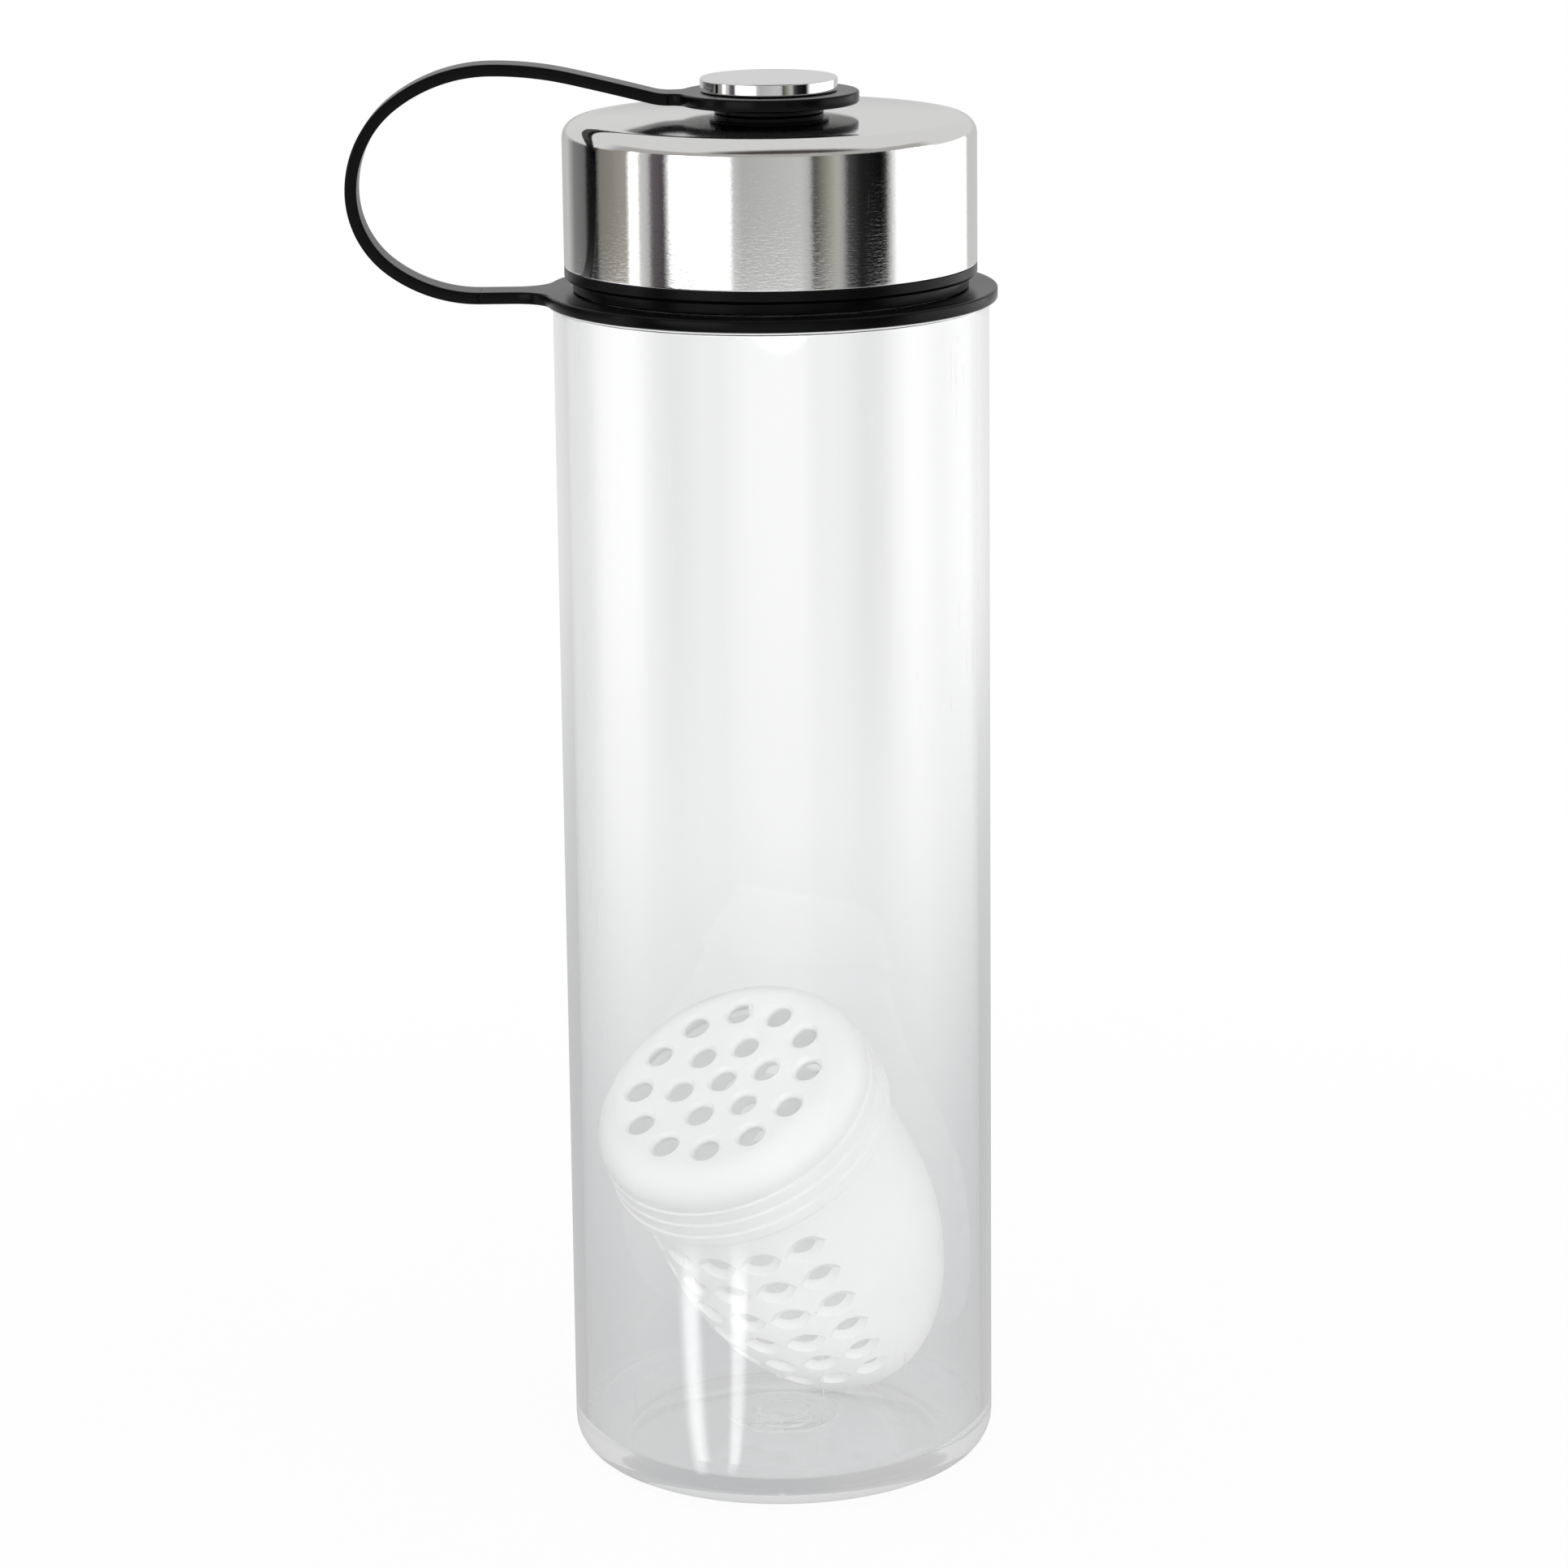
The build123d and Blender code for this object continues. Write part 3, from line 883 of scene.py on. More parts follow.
@dataclass(frozen=True)
class TurnedMetal(Finish):
    """Polished metal with the fine lines of a polishing wheel round Z."""

    line_scale: float = 2500.0
    around_scale: float = 1.0
    line_depth: float = 0.000004
    line_strength: float = 0.3
    rough_spread: float = 0.1
    scuffs: float = 0.2
    scuff_roughness: float = 0.3

    def constants(self) -> dict[str, object]:
        """Plain metal."""
        return {"Metallic": 1.0}

    def pattern(self, tree: Tree, shader: Node, place: Socket) -> None:
        """Joins lines to the normal, and lines, patches and scuffs to the roughness.

        Args:
            tree: the material's tree.
            shader: its Principled shader.
            place: Object coordinates.
        """
        turned = Effect.TURNED_LINES.place(tree, place, Line_Scale=self.line_scale,
                                           Around_Scale=self.around_scale)
        lines, patches = turned.outputs["Lines"], turned.outputs["Patches"]
        scuffs = Effect.FINE_SCUFFS.place(tree, place, Amount=self.scuffs)
        swing = tree.math("SUBTRACT", tree.math("ADD", lines, patches), 1.0)
        rough = tree.math("MULTIPLY_ADD", swing, self.rough_spread, self.roughness)
        worn = tree.math("MULTIPLY_ADD", scuffs.outputs["Mask"], self.scuff_roughness, rough)
        tree.join(worn, shader.inputs["Roughness"])
        self.bump(tree, shader, lines, self.line_depth, self.line_strength)


class Slot(Enum):
    """The record's material slots, each with its finish."""

    CLEAR_PLASTIC = ClearFinish("clear_plastic", (0.980, 0.981, 0.982), 0.015)
    BLACK_TETHER = MouldedFinish(
        "black_tether", (0.002, 0.002, 0.0024), 0.22, grain_scale=1500.0, gloss_spread=0.1,
        specular=0.12
    )
    BLACK_PLASTIC = MouldedFinish(
        "black_plastic", (0.002, 0.002, 0.0024), 0.24, grain_scale=2200.0, gloss_spread=0.1,
        specular=0.12
    )
    POLISHED_STEEL = TurnedMetal(
        "polished_steel", (0.93, 0.925, 0.915), 0.06, around_scale=24.0, line_depth=0.00001,
        line_strength=0.8, rough_spread=0.06
    )
    CHROMED_BUTTON = TurnedMetal(
        "chromed_button", (0.94, 0.94, 0.945), 0.045, line_strength=0.06, rough_spread=0.02,
        scuffs=0.1
    )
    SCREW_STEEL = TurnedMetal("screw_steel", (0.62, 0.61, 0.60), 0.28)
    SEAL_SILICONE = MouldedFinish(
        "seal_silicone", (0.78, 0.79, 0.80), 0.42, subsurface=0.4, subsurface_reach=0.001
    )
    FROSTED_PLASTIC = FrostedFinish(
        "frosted_plastic", (0.975, 0.976, 0.978), 0.42, grain_scale=1400.0, grain_strength=0.12,
        gloss_spread=0.1, subsurface=0.35, subsurface_reach=0.002
    )

    def material(self) -> bpy.types.Material:
        """The slot's material, built the first time that it is asked for."""
        return bpy.data.materials.get(self.value.title) or self.value.build()


def dress(piece: Piece, slot: Slot) -> None:
    """Gives a piece the finish of one of the record's slots."""
    piece.data.materials.clear()
    piece.data.materials.append(slot.material())


def stand_for(piece: Piece, node: str, slot: Slot, body: str | None = None) -> None:
    """Puts a finished piece in the place of a CAD node.

    Args:
        piece: the finished piece.
        node: the CAD node that it stands for.
        slot: its finish.
        body: the body that it rides on; a piece that lies between two bodies gives none.
    """
    dress(piece, slot)
    if body:
        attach(piece, body)
    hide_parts(node)
    low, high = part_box(node)
    corners = np.array([tuple(corner) for corner in piece.bound_box])
    sides = np.array([corners.min(0) - np.array(low), corners.max(0) - np.array(high)])
    triangles = sum(len(face.vertices) - 2 for face in piece.data.polygons)
    log.info("%s: %d triangles, box within %.2f mm of its node", piece.name, triangles,
             np.abs(sides).max() / MM)


# The bottle

@dataclass
class Bottle:
    """Clear blown bottle with a pushed-up base and a threaded wide neck."""

    radius: float = 36.5
    height: float = 202.3
    wall: float = 2.0
    foot_rounding: float = 6.2
    foot_width: float = 3.8
    foot_inner_rounding: float = 0.8
    push_up: float = 3.8
    floor: float = 2.5
    floor_edge: float = 2.8
    floor_flat: float = 7.0
    floor_rounding: float = 5.5
    floor_edge_rounding: float = 1.5
    gate_radius: float = 4.5
    gate_depth: float = 0.9
    gate_ring_radius: float = 9.6
    gate_ring_depth: float = 0.35
    shoulder_rounding: float = 0.25
    shoulder_fillet: float = 0.15
    shoulder: float = 0.5
    neck_radius: float = 30.6
    neck_wall: float = 2.3
    neck_height: float = 26.5
    neck_fillet: float = 0.5
    bore_rounding: float = 0.4
    rim_rounding: float = 0.7
    bead_low: float = 204.8
    bead_width: float = 0.7
    bead_height: float = 1.2
    thread: Thread = field(default_factory=Thread)
    thread_margin: float = 2.5
    spare_turns: float = 0.5
    fine: float = 0.25
    dome_margin: float = 1.0
    under_points: int = 16
    floor_points: int = 24

    def outline(self) -> Outline:
        """Draws the half section, from the axis under the base round the rim to the axis on
        the floor. The base and the floor are domes.

        Returns:
            The outline.
        """
        foot = self.radius - self.foot_rounding - self.foot_width
        inner = self.radius - self.wall
        edge = inner - self.floor_flat
        neck, bore = self.neck_radius, self.neck_radius - self.neck_wall
        rim = self.height + self.neck_height
        ceiling = self.height - self.shoulder
        bead_top = self.bead_low + self.bead_height
        gate_top = self.push_up + self.gate_depth
        ring, ring_top = self.gate_ring_radius, self.push_up + self.gate_ring_depth
        ring_edge = float(sagged(np.array(ring), self.push_up, foot, self.push_up))
        under = np.linspace(ring + self.dome_margin, foot - self.dome_margin, self.under_points)
        above = np.linspace(edge - self.dome_margin, 0, self.floor_points)
        floor_top = self.push_up + self.floor
        thread = self.thread
        thread_top = thread.start + (thread.turns + self.spare_turns) * thread.pitch
        steps = np.arange(thread.start - self.thread_margin, thread_top + self.fine, self.fine)
        shape = Outline(closed=False)
        shape.corners(
            (0, gate_top, 0), (self.gate_radius, gate_top, SOFT),
            (self.gate_radius, ring_top, SOFT), (ring, ring_top, CRISP), (ring, ring_edge, CRISP),
        )
        shape.curve(under, sagged(under, self.push_up, foot, self.push_up))
        shape.corners(
            (foot, 0, self.foot_inner_rounding), (self.radius, 0, self.foot_rounding),
            (self.radius, self.height, self.shoulder_rounding),
            (neck, self.height, self.neck_fillet), (neck, self.bead_low, KEEN),
            (neck + self.bead_width, self.bead_low, CRISP), (neck, bead_top, EASED),
        )
        shape.curve(np.full(len(steps), neck), steps)
        shape.corners(
            (neck, rim, self.rim_rounding), (bore, rim, self.rim_rounding),
            (bore, ceiling, self.bore_rounding), (inner, ceiling, self.shoulder_fillet),
            (inner, self.floor_edge, self.floor_rounding),
            (edge, self.floor_edge, self.floor_edge_rounding),
        )
        shape.curve(above, sagged(above, floor_top, edge, floor_top - self.floor_edge))
        return shape

    def build(self) -> None:
        """Makes the bottle with its thread."""
        piece = turned_piece("clear_bottle", self.outline(), thread=self.thread,
                             wall=self.neck_radius)
        stand_for(piece, "bottle_body", Slot.CLEAR_PLASTIC, "bottle")


# The tether

@dataclass
class FlatEye:
    """Flat ring with a tab towards -X, blended where the tab leaves it, with rounded rims."""

    name: str
    node: str
    body: str
    radius: float
    bore: float
    tab_end: float
    blend: float
    low: float
    tab_width: float = 7.0
    thickness: float = 2.0
    rounding: float = 0.35
    steps: int = 5
    ring_points: int = 90
    blend_points: int = 15
    side_shares: tuple[float, ...] = (0.25, 0.5, 0.75, 0.97, 1.0)
    end_shares: tuple[float, ...] = (0.97, 0.6, 0.2)
    flat_shares: tuple[float, ...] = (0.04, 0.5, 0.96)

    def edge(self, inset: float) -> Array:
        """Draws the outer outline in by an inset, with points that match for every inset.

        The ring's circle shrinks and the tab narrows by the inset, and the hollow blends grow
        by it about the same centres. The tab's end doesn't move.

        Args:
            inset: how far it is drawn in.

        Returns:
            (x, y) rows.
        """
        half = self.tab_width / 2
        reach = self.radius + self.blend
        lift = math.asin((half + self.blend) / reach)
        centre = np.array([-reach * math.cos(lift), half + self.blend])
        circle = polar(self.radius - inset, np.linspace(0, math.pi - lift, self.ring_points))
        hollow = np.linspace(-lift, -QUARTER_TURN, self.blend_points + 1)[1:]
        blend = centre + polar(self.blend + inset, hollow)
        side_x = centre[0] + np.array(self.side_shares) * (-self.tab_end - centre[0])
        side = np.stack([side_x, np.full(len(side_x), half - inset)], axis=-1)
        end_y = np.array(self.end_shares) * (half - inset)
        end = np.stack([np.full(len(end_y), -self.tab_end), end_y], axis=-1)
        upper = np.concatenate([circle, blend, side, end])
        lower = upper[1:][::-1] * np.array([1, -1])
        return np.concatenate([upper, lower])

    def hole(self, growth: float) -> Array:
        """Bore widened by a growth, with a point at the angle of each point of the outline."""
        return unit(self.edge(0.0)) * (self.bore + growth)

    def build(self) -> None:
        """Makes the eye: rounded outer rim, flat top, rounded bore and flat underside."""
        turn = np.linspace(0, QUARTER_TURN, self.steps + 1)
        draw = self.rounding * (1 - np.sin(turn))
        lift = self.rounding * (1 - np.cos(turn))
        insets = np.concatenate([draw, draw[::-1]])
        heights = np.concatenate([self.low + lift, self.low + self.thickness - lift[::-1]])
        outer = [at_height(self.edge(inset), z) for inset, z in zip(insets, heights)]
        inner = [at_height(self.hole(inset), z) for inset, z in zip(insets, heights)][::-1]
        top = [outer[-1] + share * (inner[0] - outer[-1]) for share in self.flat_shares]
        under = [inner[-1] + share * (outer[0] - inner[-1]) for share in self.flat_shares]
        rows = np.stack(outer + top + inner + under)
        piece = closed_mesh(self.name, [Grid(rows, wrap_rows=True)])
        stand_for(piece, self.node, Slot.BLACK_TETHER, self.body)


@dataclass
class Arc:
    """Arc in the loop's own plane from a place in a direction to another place."""

    start: Array
    heading: Array
    end: Array
    spacing: float = 0.9
    fewest: int = 4

    def trace(self) -> tuple[Array, Array]:
        """Follows the arc in even steps.

        The arc turns by twice the angle from its heading to its chord, and each chord from the
        start makes half of the turn so far with the heading.

        Returns:
            Points and headings along the arc, without its start.
        """
        chord = self.end - self.start
        length = float(np.linalg.norm(chord))
        bend = self.heading[0] * chord[1] - self.heading[1] * chord[0]
        half = math.atan2(bend, float(self.heading @ chord))
        count = max(self.fewest, math.ceil(length / self.spacing))
        share = np.arange(1, count + 1) / count
        reach = length * np.sin(half * share) / math.sin(half)
        first = math.atan2(self.heading[1], self.heading[0])
        points = self.start + polar(reach, first + half * share)
        return points, polar(1.0, first + 2 * half * share)


def two_arcs(start: Array, heading: Array, end: Array, arriving: Array) -> tuple[Array, Array]:
    """Two tangent arcs from one place and heading to another.

    Both arms have the same reach: the positive root of the equation that makes them meet.

    Args:
        start: where they start.
        heading: the heading there.
        end: where they end.
        arriving: the heading there.

    Returns:
        Points and headings along them, without the start.
    """
    span = end - start
    turn = 1 - float(heading @ arriving)
    along = float(span @ (heading + arriving))
    reach = (math.sqrt(along**2 + 2 * turn * float(span @ span)) - along) / (2 * turn)
    middle = (start + end + (heading - arriving) * reach) / 2
    points, headings = Arc(start, heading, middle).trace()
    more, more_headings = Arc(middle, headings[-1], end).trace()
    return np.concatenate([points, more]), np.concatenate([headings, more_headings])


@dataclass
class Strap:
    """Flat carry loop from the neck ring's tab over its crest to the eyelet's tab."""

    root: Pair = (-48.5, 203.55)
    tip: Pair = (-16.5, 236.25)
    reach: float = 70.6
    crest_rise: float = 5.15
    crest_share: float = 0.556
    side_share: float = 0.467
    bend_radius: float = 12.0
    bend_angle: float = 14.5
    width: float = 7.0
    thickness: float = 2.0
    rounding: float = 0.35
    steps: int = 5
    flat_share: float = 0.96
    flat_points: int = 6

    def route(self) -> tuple[Array, Array]:
        """Follows the middle line: two arcs up the side, two over the crest, two down to the
        bend, and the bend itself.

        Returns:
            Places and headings along it, in (x, z).
        """
        low, high = np.array(self.root), np.array(self.tip)
        crest_height = high[1] + self.crest_rise
        side_height = low[1] + (crest_height - low[1]) * self.side_share
        side = np.array([self.thickness / 2 - self.reach, side_height])
        crest = np.array([high[0] + (side[0] - high[0]) * self.crest_share, crest_height])
        slope = math.radians(self.bend_angle)
        bend = high + self.bend_radius * np.array([-math.sin(slope), 1 - math.cos(slope)])
        downhill = np.array([math.cos(slope), -math.sin(slope)])
        left, up, right = np.array([-1.0, 0.0]), np.array([0.0, 1.0]), np.array([1.0, 0.0])
        legs = [
            (low[None], left[None]),
            two_arcs(low, left, side, up),
            two_arcs(side, up, crest, right),
            two_arcs(crest, right, bend, downhill),
            Arc(bend, downhill, high).trace(),
        ]
        places, headings = zip(*legs)
        return np.concatenate(places), np.concatenate(headings)

    def section(self) -> Array:
        """Draws a rounded rectangle: a rounded corner and half a flat side, mirrored twice.

        Returns:
            (across, out) rows.
        """
        thick = self.thickness / 2
        middle = np.array([self.width / 2 - self.rounding, thick - self.rounding])
        corner = middle + polar(self.rounding, np.linspace(0, QUARTER_TURN, self.steps + 1))
        shares = np.linspace(self.flat_share, 0, self.flat_points)[:-1, None]
        flat = shares * np.array([middle[0], 0]) + np.array([0, thick])
        quarter = np.concatenate([corner, flat])
        right_half = np.concatenate([quarter, (quarter * np.array([-1, 1]))[::-1]])
        return np.concatenate([right_half, -right_half])

    def build(self) -> None:
        """Sweeps the section along the route; its ends close on the middle line."""
        places, headings = self.route()
        normals = np.stack([-headings[:, 1], headings[:, 0]], axis=-1)
        across, out = self.section().T
        swept = places[:, None] + normals[:, None] * out[:, None]
        sides = np.broadcast_to(across, swept.shape[:-1])
        rows = np.stack([swept[..., 0], sides, swept[..., 1]], axis=-1)
        ends = np.insert(places[[0, -1]], 1, 0.0, axis=-1)
        ends = np.broadcast_to(ends[:, None], (2, len(across), 3))
        piece = closed_mesh("carry_strap", [Grid(np.concatenate([ends[:1], rows, ends[1:]]))])
        stand_for(piece, "loop_strap", Slot.BLACK_TETHER)
        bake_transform(piece)


@dataclass
class Tether:
    """Neck ring, carry strap and eyelet, which look like the one moulding that they are."""

    ring: FlatEye = field(default_factory=lambda: FlatEye(
        "tether_neck_ring", "neck_ring", "tether_ring", radius=37.9, bore=30.9, tab_end=48.5,
        blend=6.0, low=202.55))
    eyelet: FlatEye = field(default_factory=lambda: FlatEye(
        "tether_eyelet", "eyelet", "tether_eye", radius=15.0, bore=8.3, tab_end=16.5,
        blend=2.0, low=235.25))
    strap: Strap = field(default_factory=Strap)

    def build(self) -> None:
        """Makes the three pieces of the tether."""
        for piece in (self.ring, self.strap, self.eyelet):
            piece.build()


# The screw cap

@dataclass
class ScrewCap:
    """Black inner cap under a drawn steel cover, with the post and the button on top."""

    radius: float = 34.5
    corner: float = 3.0
    edge_top: float = 232.95
    crown: float = 0.8
    crown_points: int = 26
    sheet: float = 0.5
    fit: float = 0.1
    cover_low: float = 208.7
    lip_low: float = 206.6
    lip_chamfer: float = 0.5
    foot_low: float = 204.7
    lip_foot_radius: float = 33.1
    bore: float = 31.9
    plate_low: float = 230.6
    rib_radius: float = 25.3
    rib_width: float = 1.5
    rib_drop: float = 2.2
    spigot: float = 5.1
    foot_radius: float = 9.15
    lip_radius: float = 10.0
    lip_height: float = 0.55
    journal: float = 8.0
    boss: float = 3.0
    screw_hole: float = 2.1
    boss_low: float = 231.2
    boss_bore_top: float = 235.9
    post_lip_top: float = 235.15
    button_low: float = 237.35
    button_top: float = 239.62
    button_radius: float = 11.43
    button_rounding: float = 0.45
    thread: Thread = field(default_factory=lambda: Thread(height=-0.95, start=208.4, turns=3.1))
    thread_margin: float = 1.0
    fine: float = 0.25
    segments: int = 256

    @property
    def hole(self) -> float:
        """Radius of the hole that the post's spigot goes through."""
        return self.spigot + self.fit

    def crown_curve(self, inset: float) -> tuple[Array, Array]:
        """Follows the slight crown from the side in to the hole.

        Args:
            inset: how far the surface lies under the steel's own.

        Returns:
            Radii and heights.
        """
        reach = self.radius - self.corner
        radii = np.linspace(reach, self.hole, self.crown_points)
        top = self.edge_top - inset + self.crown
        return radii, sagged(radii, top, reach, self.crown)

    def cover(self) -> None:
        """Makes the drawn steel cover, half a millimetre thick, open below."""
        out_r, out_z = self.crown_curve(0)
        in_r, in_z = self.crown_curve(self.sheet)
        outside, inside = self.radius, self.radius - self.sheet
        shape = Outline(steps=12, longest=3.0)
        shape.corners((outside, self.cover_low, EASED), (outside, self.edge_top, self.corner))
        shape.curve(out_r[1:-1], out_z[1:-1])
        shape.corners((self.hole, float(out_z[-1]), KEEN), (self.hole, float(in_z[-1]), KEEN))
        shape.curve(in_r[-2:0:-1], in_z[-2:0:-1])
        shape.corners(
            (inside, self.edge_top - self.sheet, self.corner - self.sheet),
            (inside, self.cover_low, CRISP),
        )
        piece = turned_piece("drawn_cover", shape, self.segments)
        stand_for(piece, "steel_cover", Slot.POLISHED_STEEL, "cap")

    def inner_cap(self) -> None:
        """Makes the inner cap: lip under the cover, threaded skirt, plate and the rib inside
        the seal."""
        inset = self.sheet + self.fit
        inside = self.radius - inset
        top_r, top_z = self.crown_curve(inset)
        rib, rib_inside = self.rib_radius, self.rib_radius - self.rib_width
        plate, rib_low = self.plate_low, self.plate_low - self.rib_drop
        low, high = self.lip_low + self.thread_margin, plate - self.thread_margin
        rows = np.arange(low, high, self.fine)
        shape = Outline(longest=3.0)
        shape.corners(
            (self.bore, self.foot_low, BLUNT), (self.lip_foot_radius, self.foot_low, EASED),
            (self.lip_foot_radius, self.lip_low, KEEN),
            (self.radius - self.lip_chamfer, self.lip_low, SOFT),
            (self.radius, self.lip_low + self.lip_chamfer, BLUNT),
            (self.radius, self.cover_low, CRISP), (inside, self.cover_low, KEEN),
            (inside, self.edge_top - inset, self.corner - inset),
        )
        shape.curve(top_r[1:-1], top_z[1:-1])
        shape.corners(
            (self.hole, float(top_z[-1]), KEEN), (self.hole, plate, EASED),
            (rib_inside, plate, BLUNT), (rib_inside, rib_low, BLUNT), (rib, rib_low, BLUNT),
            (rib, plate, BLUNT), (self.bore, plate, BLUNT),
        )
        shape.curve(np.full(len(rows), self.bore), rows[::-1])
        piece = turned_piece("threaded_inner_cap", shape, self.segments, self.thread, self.bore)
        stand_for(piece, "inner_cap", Slot.BLACK_PLASTIC, "cap")

    def post_piece(self) -> None:
        """Makes the post: spigot, foot on the cover, thin lip under the eyelet, and journal."""
        cover_top = self.edge_top + self.crown
        lip_top, lip_low = self.post_lip_top, self.post_lip_top - self.lip_height
        bore = self.boss + self.fit
        shape = Outline()
        shape.corners(
            (bore, self.plate_low, KEEN), (self.spigot, self.plate_low, EASED),
            (self.spigot, cover_top, KEEN), (self.foot_radius, cover_top, EASED),
            (self.foot_radius, lip_low, CRISP), (self.lip_radius, lip_low, CRISP),
            (self.lip_radius, lip_top, EASED), (self.journal, lip_top, KEEN),
            (self.journal, self.button_low, CRISP), (bore, self.button_low, KEEN),
        )
        piece = turned_piece("swivel_post", shape)
        stand_for(piece, "post", Slot.BLACK_PLASTIC, "cap")

    def button(self) -> None:
        """Makes the chromed button with the bored boss that the screw pulls on."""
        low, top = self.button_low, self.button_top
        shape = Outline(closed=False, steps=10, longest=2.0)
        shape.corners(
            (0, top, 0), (self.button_radius, top, self.button_rounding),
            (self.button_radius, low, EASED), (self.boss, low, KEEN),
            (self.boss, self.boss_low, EASED), (self.screw_hole, self.boss_low, EASED),
            (self.screw_hole, self.boss_bore_top, KEEN), (0, self.boss_bore_top, 0),
        )
        piece = turned_piece("chrome_button", shape)
        stand_for(piece, "button", Slot.CHROMED_BUTTON, "cap")

    def build(self) -> None:
        """Makes the cap's pieces and dresses the small ones that stay as they are."""
        for make in (self.cover, self.inner_cap, self.post_piece, self.button):
            make()
        kept = {"seal_ring": Slot.SEAL_SILICONE, "screw_washer": Slot.SEAL_SILICONE,
                "post_screw": Slot.SCREW_STEEL}
        for node, slot in kept.items():
            dress(bpy.data.objects[node], slot)
            log.info("%s: kept, with a new finish", node)


# The fruit capsule

@dataclass
class CapsuleFrame:
    """The capsule's own frame: its tip, its leaning axis and the two directions across it.

    The lid's joint stands on the axis at the height of the lid's face.
    """

    joint: dict
    joint_height: float = 75.4

    def place(self, points: Array) -> Array:
        """Puts points from the capsule's frame into the bottle's.

        Args:
            points: places in the capsule's frame, in millimetres.

        Returns:
            The same places in the bottle's frame.
        """
        axis = unit(np.array(self.joint["axis"]))
        across = unit(np.cross([0.0, 0.0, 1.0], [axis[0], axis[1], 0.0]))
        ahead = np.cross(axis, across)
        origin = np.array(self.joint["pos_m"]) / MM - axis * self.joint_height
        return origin + points @ np.stack([across, ahead, axis])


@dataclass
class HoleRings:
    """Matching rings of one hole in its cell, each with its depth, from the cell's edge in,
    down the hole, and back under."""

    edge: Array
    rings: list[tuple[Array, float]] = field(default_factory=list)

    def add(self, *rings: tuple[Array, float]) -> None:
        """Adds rings, each with its depth."""
        self.rings += rings

    def towards(self, inner: Array, shares: tuple[float, ...], depth: float) -> None:
        """Adds rings at shares of the way from the cell's edge to an inner ring."""
        self.rings += [(self.edge + share * (inner - self.edge), depth) for share in shares]

    def stacked(self) -> tuple[Array, Array]:
        """All places, ring by ring, and a column of their depths."""
        places, depths = zip(*self.rings)
        return np.stack(places), np.array(depths)[:, None]


def almond(angles: Array, half_length: float, half_height: float, power: float = 1.5) -> Array:
    """Oval with sharp ends: the cosine along, and the sine to a power above one across."""
    height = np.sign(np.sin(angles)) * np.abs(np.sin(angles)) ** power
    return np.stack([half_length * np.cos(angles), half_height * height], axis=-1)


